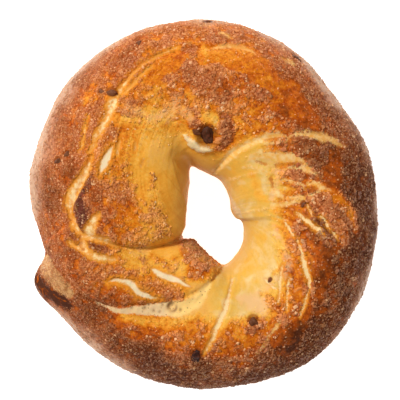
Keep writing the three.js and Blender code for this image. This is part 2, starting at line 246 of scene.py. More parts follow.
# Pores in the torn crumb, with their radii in mm.
PORES = [
    (172.5, 308, 1.4), (145, 309, 0.5), (149, 306, 0.4), (154, 312, 0.4), (181, 311, 0.5),
    (184, 300, 0.4), (189, 298, 0.4), (194, 294, 0.4), (163, 306, 0.4), (132, 309, 0.4),
    (160, 313, 0.4),
]
# In plan, in mm: where the torn crumb turns from white to yellow, and pale dough turns mottled.
CRUMB_YELLOWS = (-14.0, -6.0)  # to the right
CRUMB_YELLOWS_DOWN = (-20.0, -25.0)
MOTTLED_FROM = (-2.0, 6.0)
# Patches that differ from the crust round them: change of bake, change of sugar cover, and a stroke.
PATCHES = {
    "yellow by the hole": (0.16, 0, [(252, 174, 1), (260, 195, 3), (268, 202, 1)]),
    # Paler than the crust round it for painted light, and with little sugar.
    "inner slope, painted light": (-0.05, -0.6, [(148, 132, 5), (160, 144, 9), (166, 160, 8)]),
    "sand left of the crack": (0.08, 0.4, [(102, 106, 3), (90, 128, 7), (70, 176, 4)]),
    "golden upper left": (-0.14, 0, [(124, 120, 2), (156, 118, 5), (172, 112, 3)]),
    "red-brown above the raisin": (0.12, 0.7, [(190, 70, 4), (205, 84, 9), (222, 94, 7)]),
    "brown, left of the raisin": (0.3, 0.9, [(190, 126, 1), (197, 124, 3), (200, 131, 2)]),
    "brown, right of the raisin": (0.26, 0.8, [
        (223, 118, 1.5), (228, 128, 4.2), (226, 142, 4), (219, 148, 1.5),
    ]),
    "gold, over the raisin": (-0.25, -0.6, [(202, 122, 1.5), (212, 118, 2.6), (219, 124, 1.5)]),
    "orange, top left": (-0.02, -0.9, [(150, 80, 3), (165, 66, 5), (178, 60, 4)]),
    "orange, top": (-0.12, -1.2, [(205, 52, 3), (245, 62, 8), (262, 76, 6)]),
    "orange, right": (-0.06, -0.9, [(272, 84, 5), (288, 94, 7), (302, 110, 7), (314, 124, 4)]),
    "orange beyond the right fold": (-0.04, -0.9, [(338, 152, 2), (332, 168, 5), (334, 184, 4)]),
    "sand under the right fold": (0.02, 0.7, [(300, 146, 1.5), (312, 152, 5), (320, 164, 5)]),
    "sand between the swaths": (0, 0.5, [(282, 176, 1), (294, 175, 2.6), (318, 184, 1)]),
    "sand by the small raisin": (-0.2, 0.7, [
        (312, 198, 2), (321, 202, 5), (340, 230, 4.5), (342, 242, 2.5),
    ]),
    "gold band": (-0.4, -0.8, [(308, 186, 0.6), (322, 189, 1.8), (345, 207, 2.6), (355, 230, 0.4)]),
    "sand, lower right": (0.06, 0.6, [(286, 240, 1), (290, 246, 3), (287, 256, 2.6)]),
    "sand beside the bottom split": (0.16, 0.5, [
        (228, 334, 2), (238, 324, 3.5), (250, 328, 3.5), (262, 322, 2),
    ]),
    "crumbs, lower right": (0.2, 0.5, [(261, 293, 1), (266, 298, 2.8), (274, 305, 3)]),
    "orange between the splits": (0.06, -0.8, [(318, 245, 2), (322, 262, 4), (318, 278, 4)]),
    "orange, lower right": (0.08, -1, [(300, 326, 3), (292, 338, 6), (282, 350, 4)]),
    "sugared end of the tail": (0.34, 0.6, [
        (184, 243, 2), (193, 252, 7), (198, 264, 7), (193, 276, 3),
    ]),
    "brown edge of the tail": (0.14, 0.1, [(192, 243, 1), (208, 259, 3.6), (205, 274, 2)]),
    "golden brown by the seam": (0.2, 0.3, [
        (215, 258, 1), (217, 264, 2.4), (211, 272, 3.2), (203, 280, 2.4),
    ]),
    "sand on the tail": (0.04, 0.35, [(150, 286, 3), (166, 292, 4), (180, 292, 2)]),
    "tan under the lobe": (-0.17, -0.3, [(108, 255, 1), (120, 253, 3), (148, 252, 2)]),
    "spots on the left crown": (0.16, 0.15, [(131, 104, 0.8), (144, 103, 1.2), (148, 105, 0.4)]),
    "sand by the left crack": (0.1, 0.6, [(99, 147, 1.6), (108, 146, 3), (118, 128, 0.8)]),
    "brown among the lower splits": (0.2, 0.6, [
        (274, 272, 1), (286, 273, 2.2), (290, 282, 1.6), (288, 292, 1),
    ]),
    "red-brown tail": (0.06, 0.2, [(112, 292, 4), (126, 298, 4), (140, 302, 2)]),
    "orange blotches on the tail": (0.14, 0.25, [(152, 256, 1), (168, 265, 2), (177, 259, 1)]),
    "gold on the tail": (-0.06, -0.3, [(128, 262, 4), (160, 262, 5), (172, 256, 4)]),
    "mauve sand by the cinnamon": (0.05, 0.9, [(100, 186, 2), (96, 197, 5), (92, 214, 2)]),
    "lobe, crumbs": (0, 0.4, [(152, 176, 1), (157, 215, 4.4), (158, 234, 3.5)]),
    "crumb between the forks": (0.1, 0.5, [(89, 244, 1), (97, 248, 2.6), (104, 252, 1.8)]),
    "gold under the tear": (-0.22, -1, [
        (122, 317, 1.5), (158, 324, 4.4), (176, 323, 3.8), (192, 314, 1.5),
    ]),
    "dark rim, bottom left": (0.08, 0.6, [(116, 340, 2), (152, 361, 5), (178, 368, 6), (205, 368, 4)]),
}
# Where the crust is pale pink.
PINK_PATCHES = {
    "left of the raisin": [(178, 100, 1.2), (175, 109, 2.2), (171, 121, 1.6)],
    "near the raisin": [(180, 108, 1.2), (186, 115, 2.8), (192, 120, 1.6)],
    "beside the crack": [(126, 106, 0.8), (131, 110, 1.8), (144, 115, 0.8)],
    "under the crown": [(150, 120, 0.8), (166, 114, 1.6), (170, 106, 1)],
    "lower right": [(246, 300, 4), (256, 302, 6), (262, 312, 4)],
    "by the lower splits": [(274, 226, 0.6), (289, 264, 1.6), (272, 284, 1.6), (262, 288, 0.6)],
    "over the right swaths": [(264, 160, 1), (276, 168, 1.6), (278, 180, 1.6), (272, 198, 1.6)],
}
# Raisin bits: x, y, half length and half width in mm, the bearing of the length, and how pale.
BITS = {
    "big": (208, 136, 3.1, 2.8, 110, 0.25),
    "beside the big": (196, 132, 1.2, 0.7, 150, 0.7),
    "bottom": (196.5, 355, 2.1, 1.4, 80, 0),
    "lower right": (253, 321, 1.7, 1.3, 120, 0.6),
    "top left": (112, 92, 1.9, 0.9, 170, 0.8),
    "top left, small": (102, 92, 1.1, 0.7, 150, 0.9),
    "upper rim": (138, 43, 1.2, 0.9, 70, 0.7),
    "left 1": (58, 161, 1.1, 0.9, 60, 0.6),
    "left 2": (67, 155, 1.2, 0.9, 80, 0.8),
    "right": (303.5, 204, 1.1, 0.5, 60, 0.8),
    "right inner": (270, 280, 0.8, 0.5, 60, 1),
    "top rim": (208, 22, 1.6, 0.8, 5, 0.8),
    "right rim": (296, 58, 1.6, 1, 140, 0.5),
}

# ---- Zones of the crust, by bearing ----
# Across the ring (0 hole, 1 outer side): where golden dough ends, and where brown crust, sugar and
# dense sand start.
GOLD_UNTIL = [
    (0, 0.26), (45, 0.38), (70, 0.25), (90, 0.18), (110, 0.25), (135, 0.42), (160, 0.35), (180, 0.3),
    (225, 0.35), (250, 0.3), (270, 0.46), (300, 0.45), (330, 0.32),
]
BROWN_FROM = [
    (0, 0.45), (45, 0.5), (90, 0.6), (135, 0.75), (180, 0.7), (225, 0.6), (270, 0.72), (315, 0.6),
]
SUGAR_FROM = [
    (0, 0.36), (45, 0.42), (90, 0.25), (135, 0.5), (155, 0.36), (180, 0.18), (200, 0.12), (225, 0.2),
    (250, 0.2), (270, 0.54), (300, 0.5), (330, 0.42),
]
SAND_FROM = [
    (0, 0.76), (45, 0.82), (90, 0.84), (135, 0.7), (180, 0.62), (225, 0.7), (270, 0.78), (315, 0.78),
]
# How much sugar lies where it starts, and where the sand is dense.
SUGAR_COVER = [
    (0, 0.55), (45, 0.5), (90, 0.55), (135, 0.5), (180, 0.55), (225, 0.5), (270, 0.5), (315, 0.5),
]
SAND_COVER = [
    (0, 1.1), (45, 1), (90, 0.9), (135, 0.85), (180, 0.95), (225, 0.9), (270, 1.1), (315, 1.1),
]
# The grains' size, against 1.
GRAIN_SIZE = [(0, 1.1), (90, 0.88), (150, 0.75), (200, 0.72), (230, 0.72), (270, 1.05)]
# How baked the dough is by the hole, on the crown and at the outer side.
INNER_BAKE = [
    (0, 0.15), (30, 0.17), (60, 0.26), (120, 0.31), (180, 0.4), (225, 0.36), (260, 0.25), (310, 0.15),
]
MIDDLE_BAKE = [
    (0, 0.6), (45, 0.56), (90, 0.52), (135, 0.51), (160, 0.61), (185, 0.65), (225, 0.58), (270, 0.58),
    (315, 0.6),
]
OUTER_BAKE = [
    (0, 0.9), (45, 0.76), (90, 0.64), (135, 0.76), (160, 0.74), (185, 0.78), (225, 0.82), (245, 0.87),
    (270, 0.9), (315, 0.88),
]
# How strongly pale wrinkles show where golden dough ends.
WRINKLES = [
    (0, 1), (60, 0.8), (95, 0.2), (130, 1), (165, 0.8), (195, 0.1), (230, 0), (270, 0.5), (320, 1),
]
# The height in mm under which the outer side stays pale.
SIDE_BELOW = [
    (0, 22), (35, 26), (70, 23), (90, 22), (135, 25.5), (165, 28.5), (180, 27), (190, 18), (202, 18),
    (225, 24), (270, 18), (330, 23.5),
]
# The share of the sugar that each mark takes away.
SUGAR_LOST = {"split": 0.92, "stretch": 0.85, "tear": 1.0, "burnt": 0.95}
# Degrees that the dough's wrinkles turn from the hole to the outer side.
SWIRL = [(0, 60), (60, 70), (110, 180), (150, 240), (190, 240), (230, 150), (270, 60), (315, 55)]
SWIRL_RADIUS = 33.0
STREAK_SHARE = 0.18  # how much faster wrinkles change round the ring than across it

# ---- Relief of the crust, in mm ----
# Each mark with how far the dough moves out there, and the depths where that starts and is full.
MARK_RELIEF = {
    "tear": (-0.3, -0.3, 1.6),
    "split": (-0.2, -0.4, 0.5),
    "brown_line": (-0.12, -0.3, 0.3),
    "stretch": (0.15, -0.7, 0.7),
    "lip": (0.8, -0.5, 0.7),
}
SPLIT_RIDGE = (0.08, -0.5, 0.45)  # height, depth in the mark where it stands, and half width
CRUMB_ROUGHNESS = 0.45
PORE_DEPTH = 0.8  # of the pore's radius
POCKET = (1.5, 2.6)  # the big raisin's: depth and radius
POCKET_RIM = (0.5, 4.2, 1.3)  # height, radius and half width
HEAVE_HEIGHT = 0.3
DENT_HEIGHT = 0.14
PEBBLE_HEIGHT = 0.15
STREAK_HEIGHT = (0.05, 0.09)  # on soft dough, and on crust
SUGAR_HEIGHT = (0.14, 0.26)  # everywhere, and where granules heap up
# Noise: the size of its lumps in mm, its layers where there are some, and its seed.
WOBBLE = (0.9, 11)
HEAVES = (9.0, 31)
PEBBLES = (1.15, 81)
GRANULES = (1.3, 95)
CRUMB_LUMPS = (1.8, 2, 21)
DENTS = (3.2, 2, 41)
LUMPS = (8.0, 3, 51)
CLUMPS = (3.6, 3, 61)
UNEVEN_BASE = (3.6, 2, 65)
STREAKS = (1.3, 2, 91)
WOBBLE_WIDTH = 0.16  # mm that a mark's edge moves in and out
RAGGED = [(0.45, 3.0, 13), (0.25, 1.2, 17)]  # how far a mark's edge strays, over what size, and seed
FAR = 4.0  # mm: the reach of a mark's influence outside its edge
TAPER = 0.6  # a stroke of one width is a spindle: 0 keeps its width to the ends, and 1 is slim
MARK_BLEND = 0.3  # mm, in nearest_on_route
FOLD_BLEND = 3.0
FOLD_STEPS = 4  # of the fine route between two points

# ---- Grains ----
# Number, smallest and largest half width in mm, how uneven the corners and the sides are, and how
# deep a grain sinks in.
CRYSTALS = {"count": 13500, "sizes": (0.16, 0.38), "jitter": 0.25, "stretch": 0.25, "sink": 0.7}
CRUMBS = {"count": 9500, "sizes": (0.36, 0.88), "jitter": 0.28, "stretch": 0.25, "sink": 0.84}
CRYSTAL_SIDE = 0.8  # of a cube
SMALL_SHARE = 1.6  # power of the random size: above 1, small grains are more common
INNER_GRAINS = 1.1  # their size by the hole and on the outer side, against 1
OUTER_GRAINS = 0.9
LOWEST_GRAIN = 0.01  # mm
BIT_FLATNESS = 0.7
BIT_SINK = 0.22  # of its half width
BIT_LUMPS = (1.0, 73)  # noise, as above
BIT_CREASES = (1.3, 2, 71)

rng = np.random.default_rng(7)


# ---- Curves and noise ----

def smoothstep(low, high, x):
    t = np.clip((x - low) / (high - low), 0, 1)
    return t * t * (3 - 2 * t)


def bell(x, half_width, power=2):
    return np.exp(-((x / half_width) ** power))


def around_ring(pairs):
    """A smooth closed function of bearing in degrees through (degrees, value) pairs, as in the solid."""
    degrees, values = np.array(sorted(pairs), float).T
    degrees = np.concatenate([degrees - 360, degrees, degrees + 360])
    values = np.tile(values, 3)
    slopes = np.gradient(values)
    slopes[1:-1] = (values[2:] - values[:-2]) / (degrees[2:] - degrees[:-2])

    def value(bearing):
        i = np.searchsorted(degrees, bearing, side="right") - 1
        span = degrees[i + 1] - degrees[i]
        t = (bearing - degrees[i]) / span
        rise = t * t * (3 - 2 * t)
        start = t * (1 - t) ** 2 * span * slopes[i]
        end = t * t * (t - 1) * span * slopes[i + 1]
        return values[i] * (1 - rise) + values[i + 1] * rise + start + end

    return value


LATTICE = 48  # noise repeats after this many lumps
CHUNK = 8000  # places compared with a route at once
TINY = 1e-9


def noise(points, size, seed):
    """Smooth noise from -1 to 1 whose lumps are about size mm across."""
    lattice = np.random.default_rng(seed).uniform(-1, 1, (LATTICE,) * 3)
    cell = np.floor(points / size).astype(int)
    t = points / size - cell
    t = t * t * (3 - 2 * t)
    total = np.zeros(len(points))
    for corner in np.ndindex(2, 2, 2):
        i, j, k = ((cell + corner) % LATTICE).T
        total += lattice[i, j, k] * np.where(corner, t, 1 - t).prod(axis=1)
    return total


def layered_noise(points, size, layers, seed):
    """Noise with finer and weaker layers on top, each half the size and half the strength."""
    total = sum(noise(points, size / 2**i, seed + i) / 2**i for i in range(layers))
    return total / sum(1 / 2**i for i in range(layers))


def fine_route(points, steps=5):
    """A Catmull-Rom curve through points of any number of columns, as a fine polyline."""
    points = np.array(points, float)
    padded = np.vstack([2 * points[0] - points[1], points, 2 * points[-1] - points[-2]])
    before, start, end, after = (padded[i:len(padded) - 3 + i, None] for i in range(4))
    t = (np.arange(steps) / steps)[None, :, None]
    curve = 0.5 * (
        2 * start
        + (end - before) * t
        + (2 * before - 5 * start + 4 * end - after) * t**2
        + (3 * start - before - 3 * end + after) * t**3
    )
    return np.vstack([curve.reshape(-1, points.shape[1]), points[-1:]])


def nearest_on_route(places, route, blend):
    """For each place in plan: its distance from the route, whether it lies to the right of it, and
    the route's other columns near it, averaged over the stretches that are nearly as near, within
    about blend mm. The averages fade out past an end where the column is 0."""
    start, step = route[:-1], np.diff(route, axis=0)
    length = (step[:, :2] ** 2).sum(axis=1) + TINY
    found = []
    for some in np.array_split(places, len(places) // CHUNK + 1):
        away = some[:, None] - start[None, :, :2]
        t = ((away * step[:, :2]).sum(axis=2) / length).clip(0, 1)
        gap = np.hypot(*np.moveaxis(away - t[..., None] * step[:, :2], 2, 0))
        distance = gap.min(axis=1)
        row, nearest = np.arange(len(some)), gap.argmin(axis=1)
        turn = away[row, nearest, 0] * step[nearest, 1] - away[row, nearest, 1] * step[nearest, 0]
        weight = np.exp(-(gap - distance[:, None]) / blend) * np.sqrt(length)
        weight /= weight.sum(axis=1, keepdims=True)
        columns = start[:, 2:] + t[..., None] * step[:, 2:]
        average = np.einsum("ns,nsc->nc", weight, columns)
        found.append((distance, turn > 0, np.minimum(average, 3 * columns[row, nearest])))
    return [np.concatenate(parts) for parts in zip(*found)]


def with_share(route):
    """The route with one more column, the share of its length up to each point."""
    steps = np.linalg.norm(np.diff(route[:, :2], axis=0), axis=1)
    along = np.concatenate([[0], np.cumsum(steps)])
    return np.column_stack([route, along / along[-1]])


# ---- Dough ring ----

def hole_radii():
    pairs = []
    for x, y in HOLE_OUTLINE:
        dx, dy = x - HOLE_CENTRE[0], y - HOLE_CENTRE[1]
        pairs.append((math.degrees(math.atan2(dy, dx)) % 360, math.hypot(dx, dy)))
    return pairs


def quarter(squareness):
    """A quarter of a superellipse from (1, 0) to (0, 1) for each bearing's squareness."""
    turn = np.linspace(0, math.pi / 2, QUARTER_STEPS + 1)
    power = 2 / np.reshape(squareness, (-1, 1))
    return np.cos(turn).clip(0) ** power, np.sin(turn) ** power


def section_profiles(bearing):
    """Place across the ring, height and share of points, from the hole's outline over the crown to
    the outer side, then under the base and back."""
    crown = around_ring(CROWN_PLACE)(bearing)[:, None]
    top = around_ring(CROWN_HEIGHT)(bearing)[:, None]
    blank = np.zeros_like(crown)
    a, b = quarter(around_ring(INNER_SQUARENESS)(bearing))
    over_in = (crown * (1 - a), INNER_EQUATOR + (top - INNER_EQUATOR) * b)
    a, b = (side[:, ::-1] for side in quarter(OUTER_SQUARENESS))
    over_out = (crown + (1 - crown) * a, OUTER_EQUATOR + (top - OUTER_EQUATOR) * b)
    a, b = quarter(LOWER_SQUARENESS)
    under_out = (BASE_OUTER + (1 - BASE_OUTER) * a + blank, OUTER_EQUATOR * (1 - b) + blank)
    a, b = a[:, ::-1], b[:, ::-1]
    under_in = (BASE_INNER * (1 - a) + blank, INNER_EQUATOR * (1 - b) + blank)
    place, height = (
        np.hstack([over_in[i], over_out[i][:, 1:], under_out[i][:, 1:], under_in[i]]) for i in range(2)
    )
    share = np.ones(place.shape[1])
    share[2 * QUARTER_STEPS + 1:] = SIDE_SHARE
    share[3 * QUARTER_STEPS + 1] = BASE_SHARE
    return place, height, share


def ring_grid():
    """The plain ring as a grid of points, with each point's place across the ring (0 hole, 1 outer
    side), the bearing of its section and its way along the section."""
    even = np.arange(RINGS) * 360 / RINGS
    bearing = (even - math.degrees(CROWDING) * np.sin(np.radians(even - CROWDED_BEARING))) % 360
    along = np.stack([np.cos(np.radians(bearing)), np.sin(np.radians(bearing))], axis=1)
    inside = np.array(HOLE_CENTRE) + around_ring(hole_radii())(bearing)[:, None] * along
    outside = around_ring(OUTER_RADII)(bearing)[:, None] * along
    width = np.linalg.norm(outside - inside, axis=1)
    place, height, share = section_profiles(bearing)
    grid = np.empty((RINGS, RING_POINTS, 3))
    across, along_section = np.empty((2, RINGS, RING_POINTS))
    for i in range(RINGS):
        steps = np.hypot(np.diff(place[i]) * width[i], np.diff(height[i])) * share[1:]
        length = np.concatenate([[0], np.cumsum(steps)])
        wanted = length[-1] * np.arange(RING_POINTS) / RING_POINTS
        across[i] = np.interp(wanted, length, place[i])
        along_section[i] = wanted
        grid[i, :, :2] = inside[i] + across[i][:, None] * (outside[i] - inside[i])
        grid[i, :, 2] = np.interp(wanted, length, height[i])
    return grid, across, np.repeat(bearing[:, None], RING_POINTS, axis=1), along_section


def grid_normals(grid):
    around = np.roll(grid, -1, axis=0) - np.roll(grid, 1, axis=0)
    along = np.roll(grid, -1, axis=1) - np.roll(grid, 1, axis=1)
    normal = np.cross(along, around)
    return normal / np.linalg.norm(normal, axis=2, keepdims=True)


def seen_from_above(points):
    """Where the camera sees points, as plan coordinates in mm at the outline's height."""
    centre = np.array(CAMERA_PLACE)
    nearer = (CAMERA_HEIGHT - OUTLINE_HEIGHT) / (CAMERA_HEIGHT - points[:, 2:3])
    return centre + (points[:, :2] - centre) * nearer


def in_plan(points):
    """Marks given by pixel, as plan coordinates in mm. Further columns are kept."""
    points = np.array(points, float)
    points[:, 0] = (points[:, 0] - OBJECT_CENTRE[0]) * PIXEL
    points[:, 1] = (OBJECT_CENTRE[1] - points[:, 1]) * PIXEL
    return points


def distance_in_plan(seen, px, py):
    """How far seen places are from a pixel, in mm."""
    return np.linalg.norm(seen - in_plan([(px, py)])[0], axis=1)


def stroke_depth(seen, stroke):
    """How far each place lies inside a stroke's edge, in mm, and below 0 outside it. A stroke is
    points with widths, or one width and points, and then it tapers to both ends."""
    width, points = stroke if isinstance(stroke, tuple) else (None, stroke)
    route = with_share(fine_route(in_plan(points)))
    depth = np.full(len(seen), -FAR)
    low, high = route[:, :2].min(axis=0) - FAR, route[:, :2].max(axis=0) + FAR
    near = np.flatnonzero(((seen > low) & (seen < high)).all(axis=1))
    distance, _, columns = nearest_on_route(seen[near], route, MARK_BLEND)
    if width is None:
        half = columns[:, 0] / 2
    else:
        share = np.minimum(columns[:, -1], 1)
        half = width / 2 * (4 * share * (1 - share)).clip(0, 1) ** TAPER
    depth[near] = half - distance
    return depth


class Crust:
    """The fine dough: its points, and how baked, sugared, split, torn or burnt each one is."""

    def __init__(self):
        grid, across, bearing, along = ring_grid()
        self.normal = grid_normals(grid).reshape(-1, 3)
        self.point = grid.reshape(-1, 3)
        self.across = across.ravel()
        self.bearing = bearing.ravel()
        turn = np.radians(self.bearing + self.by_bearing(SWIRL) * (self.across - 0.5))
        self.lay = np.stack([np.cos(turn), np.sin(turn), along.ravel() * STREAK_SHARE], axis=1)
        self.lay[:, :2] *= SWIRL_RADIUS
        self.seen = seen_from_above(self.point)
        self.up = smoothstep(*LIFTED_SLOPES, self.normal[:, 2])
        self.find_marks()
        self.find_zones()
        self.shape()
        self.paint()

    def by_bearing(self, pairs):
        return around_ring(pairs)(self.bearing)

    def top_vertex(self, px, py):
        """The upper vertex that the camera sees at a pixel."""
        away = distance_in_plan(seen_from_above(self.point), px, py)
        return np.argmin(np.where(self.normal[:, 2] > UPWARD, away, np.inf))

    def mark(self, stroke, stray=1.0):
        """Depth in a mark whose edge strays from its stroke, on the upper side only."""
        depth = stroke_depth(self.seen + stray * self.strays, stroke)
        return depth - FAR * smoothstep(0.0, -0.5, self.normal[:, 2])

    def deepest(self, strokes, stray=1.0):
        return np.max([self.mark(stroke, stray) for stroke in strokes.values()], axis=0)

    def find_marks(self):
        """How far inside each mark a point lies, in mm, and how far it is from raisin bits."""
        shifts = [
            [amount * noise(self.point, size, seed + i) for i in range(2)]
            for amount, size, seed in RAGGED
        ]
        self.strays = np.sum(shifts, axis=0).T
        wobble = WOBBLE_WIDTH * noise(self.point, *WOBBLE)
        white = self.deepest(WHITE_SPLITS, 0.5) + wobble
        split = self.deepest(SPLITS, 0.6) + 1.5 * wobble + 0.2
        self.depth = {
            "white": white,
            "split": np.maximum(split, white),
            "stretch": self.deepest(STRETCHES, 0.8) + 2 * wobble,
            "brown_line": self.deepest(BROWN_LINES, 0.8) + 2 * wobble,
            "pink": self.deepest(PINK_PATCHES),
        }
        for name, (unevenness, points) in AREAS.items():
            self.depth[name] = self.mark(points) + unevenness * wobble
        self.to_bit = np.full(len(self.point), FAR * 3)  # in half widths of the nearest bit
        for px, py, length, width, *_ in BITS.values():
            away = np.linalg.norm(self.point - self.point[self.top_vertex(px, py)], axis=1)
            self.to_bit = np.minimum(self.to_bit, away / ((length + width) / 2))

    def find_zones(self):
        """How baked and how sugared the crust is, by bearing and place across the ring, with the
        named patches."""
        self.pebbles = noise(self.point, *PEBBLES)
        self.granules = noise(self.point, *GRANULES)
        self.streaks = layered_noise(self.lay, *STREAKS)
        lumps = layered_noise(self.point, *LUMPS)
        clumps = 0.8 * layered_noise(self.point, *CLUMPS) + 0.35 * self.granules
        outer_half = np.where(self.across > 0.5, 1.0, 0.0)
        place = np.where(self.normal[:, 2] < 0, outer_half, self.across)
        place = place + 0.07 * lumps + 0.06 * self.streaks

        def beyond(zone, start, full):
            """How far a place lies beyond a zone's border, 0 to 1, rising from start to full."""
            border = self.by_bearing(zone)
            return smoothstep(border + start, border + full, place)

        crusty = beyond(GOLD_UNTIL, -0.12, 0.1)
        inner, middle, outer = (self.by_bearing(bake) for bake in (INNER_BAKE, MIDDLE_BAKE, OUTER_BAKE))
        bake = inner + (middle - inner) * beyond(GOLD_UNTIL, -0.1, 0.12)
        bake += (outer - middle) * beyond(BROWN_FROM, -0.2, 0.25)
        cover = self.by_bearing(SUGAR_COVER) * beyond(SUGAR_FROM, -0.1, 0.15)
        cover += (self.by_bearing(SAND_COVER) - cover) * beyond(SAND_FROM, -0.12, 0.12)

        for bake_change, cover_change, points in PATCHES.values():
            inside = smoothstep(-1.6, 1.0, self.mark(points))
            bake += bake_change * inside
            cover += cover_change * inside
            crusty += (1 - crusty) * inside * (cover_change > 0)

        # Pale wrinkles, and lumps that are a little more or less baked.
        wrinkled = beyond(GOLD_UNTIL, -0.15, 0.0) * beyond(GOLD_UNTIL, 0.4, 0.1)
        wrinkled *= self.by_bearing(WRINKLES)
        bake -= 0.22 * wrinkled * smoothstep(0.1, 0.6, self.streaks)
        bake += (0.07 * lumps + 0.06 * clumps) * crusty + 0.03 * lumps

        # Sugar lies in clumps, and there is little on the marks, the rope's end and the pale sides.
        cover = cover.clip(0, 1)
        sugar = smoothstep(-0.3, 0.3, clumps + cover - 0.5) * smoothstep(0.02, 0.2, cover)
        side = smoothstep(5.0, -4.5, self.point[:, 2] - self.by_bearing(SIDE_BELOW) + 5 * lumps)
        side *= smoothstep(0.5, 0.7, self.across)
        for mark, share in SUGAR_LOST.items():
            sugar *= 1 - share * smoothstep(-0.35, 0.25, self.depth[mark])
        sugar *= 1 - 0.93 * smoothstep(-0.6, 0.6, self.depth["rope_end"])
        sugar *= 1 - 0.7 * smoothstep(-0.5, 0.5, self.depth["pink"])
        sugar *= 1 - 0.8 * side
        opened = np.max([self.depth[mark] for mark in ("split", "stretch", "tear")], axis=0)
        self.crusty = crusty * (1 - 0.8 * smoothstep(-0.3, 0.3, opened)) * (1 - 0.7 * side)
        self.bake, self.sugar, self.side = bake.clip(0, 1), sugar.clip(0, 1), side

    def shape(self):
        """Moves the points along their normals: the folds and swellings, then what is finer."""
        x, y = self.seen.T
        relief = np.zeros(len(x))
        for route, shoulder, fade, crease_width in FOLDS:
            fine = fine_route(route, FOLD_STEPS)
            distance, right, columns = nearest_on_route(self.seen, fine, FOLD_BLEND)
            step, crease = columns.T
            raised = (1 - np.exp(-distance / shoulder)) * np.exp(-distance / fade)
            relief += step * np.where(right, raised, 0) - crease * bell(distance, crease_width)
        for size, one, other in SWELLINGS:
            waves = [np.sin(a * x + b * y + phase) for a, b, phase in (one, other)]
            relief += size * waves[0] * waves[1]
        for mark, (move, start, full) in MARK_RELIEF.items():
            relief += move * smoothstep(start, full, self.depth[mark])
        height, middle, half_width = SPLIT_RIDGE
        relief += height * bell(self.depth["split"] - middle, half_width)
        crumb = smoothstep(0, 0.6, self.depth["tear"]) + smoothstep(0, 0.6, self.depth["crumb_edge"])
        relief += crumb * CRUMB_ROUGHNESS * layered_noise(self.point, *CRUMB_LUMPS)
        relief += self.pores()
        pocket = distance_in_plan(self.seen, *BITS["big"][:2])
        depth, radius = POCKET
        relief -= depth * bell(pocket, radius, 4)
        height, radius, half_width = POCKET_RIM
        relief += height * bell(pocket - radius, half_width)
        relief *= self.up
        relief += HEAVE_HEIGHT * noise(self.point, *HEAVES)
        relief += DENT_HEIGHT * layered_noise(self.point, *DENTS)
        soft, hard = STREAK_HEIGHT
        relief += (soft + (hard - soft) * self.crusty) * self.streaks
        relief += PEBBLE_HEIGHT * self.crusty * self.pebbles
        relief += self.sugar * (SUGAR_HEIGHT[0] + SUGAR_HEIGHT[1] * self.granules)
        relief *= smoothstep(0.0, 3.0, self.point[:, 2])
        self.point = self.point + self.normal * relief[:, None]
        self.point[:, 2] = self.point[:, 2].clip(0)

    def pores(self):
        """The pores' relief. Keeps their shading too: a big pore has dark walls at its upper left and
        lower right, and a small one is dark all over."""
        relief = np.zeros(len(self.seen))
        self.pore = np.zeros(len(self.seen))
        for px, py, radius in PORES:
            offset = (self.seen - in_plan([(px, py)])[0]) / radius
            away = np.linalg.norm(offset, axis=1)
            relief -= PORE_DEPTH * radius * bell(away, 1, 4)
            if radius > 1:
                facing = np.abs(offset[:, 0] - offset[:, 1]) / (1.4 * away + 0.01)
                shade = facing * bell(away - 0.95, 0.35)
            else:
                shade = 0.8 * bell(away, 1)
            self.pore = np.maximum(self.pore, shade)
        return relief

    def paint(self):
        """The crust's marks for its material: shares from 0 to 1, depths in mm, and noise from -1
        to 1."""
        x, y = self.seen.T
        height = self.point[:, 2]
        uneven = layered_noise(self.point, *UNEVEN_BASE)
        depth = dict(self.depth)
        depth["tear"] = np.maximum(depth["tear"], depth.pop("crumb_edge"))
        self.marks = {
            **{label: values.clip(-FAR, FAR) for label, values in depth.items()},
            "yellow": smoothstep(*CRUMB_YELLOWS, x) * smoothstep(*CRUMB_YELLOWS_DOWN, y),
            "right": smoothstep(*MOTTLED_FROM, x),
            "bottom": smoothstep(2.2, 0.3, height + 0.8 * uneven),
            "low": smoothstep(17.0, 5.0, height + 4 * uneven),
            "bake": self.bake, "sugar": self.sugar, "crusty": self.crusty, "side": self.side,
            "across": self.across, "pore": self.pore, "bit": self.to_bit, "pebbles": self.pebbles,
            "streaks": self.streaks, "granules": self.granules, "lay": self.lay * MM,
        }

    def faces(self):
        i, k = np.meshgrid(np.arange(RINGS), np.arange(RING_POINTS), indexing="ij")
        following, up = (i + 1) % RINGS, (k + 1) % RING_POINTS
        corners = [(i, k), (i, up), (following, up), (following, k)]
        return np.stack([a * RING_POINTS + b for a, b in corners], axis=-1).reshape(-1, 4)


# ---- Meshes ----

def link(thing):
    bpy.context.collection.objects.link(thing)
    return thing


def add_mesh(name, points, faces, attributes=(), smooth=True):
    """A mesh object in metres from points in mm and faces with equal numbers of corners."""
    mesh = bpy.data.meshes.new(name)
    corners = faces.shape[1]
    mesh.vertices.add(len(points))
    mesh.vertices.foreach_set("co", (points * MM).astype(np.float32).ravel())
    mesh.loops.add(faces.size)
    mesh.loops.foreach_set("vertex_index", faces.astype(np.int32).ravel())
    mesh.polygons.add(len(faces))
    mesh.polygons.foreach_set("loop_start", np.arange(0, faces.size, corners, dtype=np.int32))
    mesh.polygons.foreach_set("use_smooth", np.full(len(faces), smooth))
    mesh.update(calc_edges=True)
    for label, values in dict(attributes).items():
        kind, field = ("FLOAT", "value") if values.ndim == 1 else ("FLOAT_VECTOR", "vector")
        attribute = mesh.attributes.new(label, kind, "POINT")
        attribute.data.foreach_set(field, values.astype(np.float32).ravel())
    mesh.validate()
    return link(bpy.data.objects.new(name, mesh))


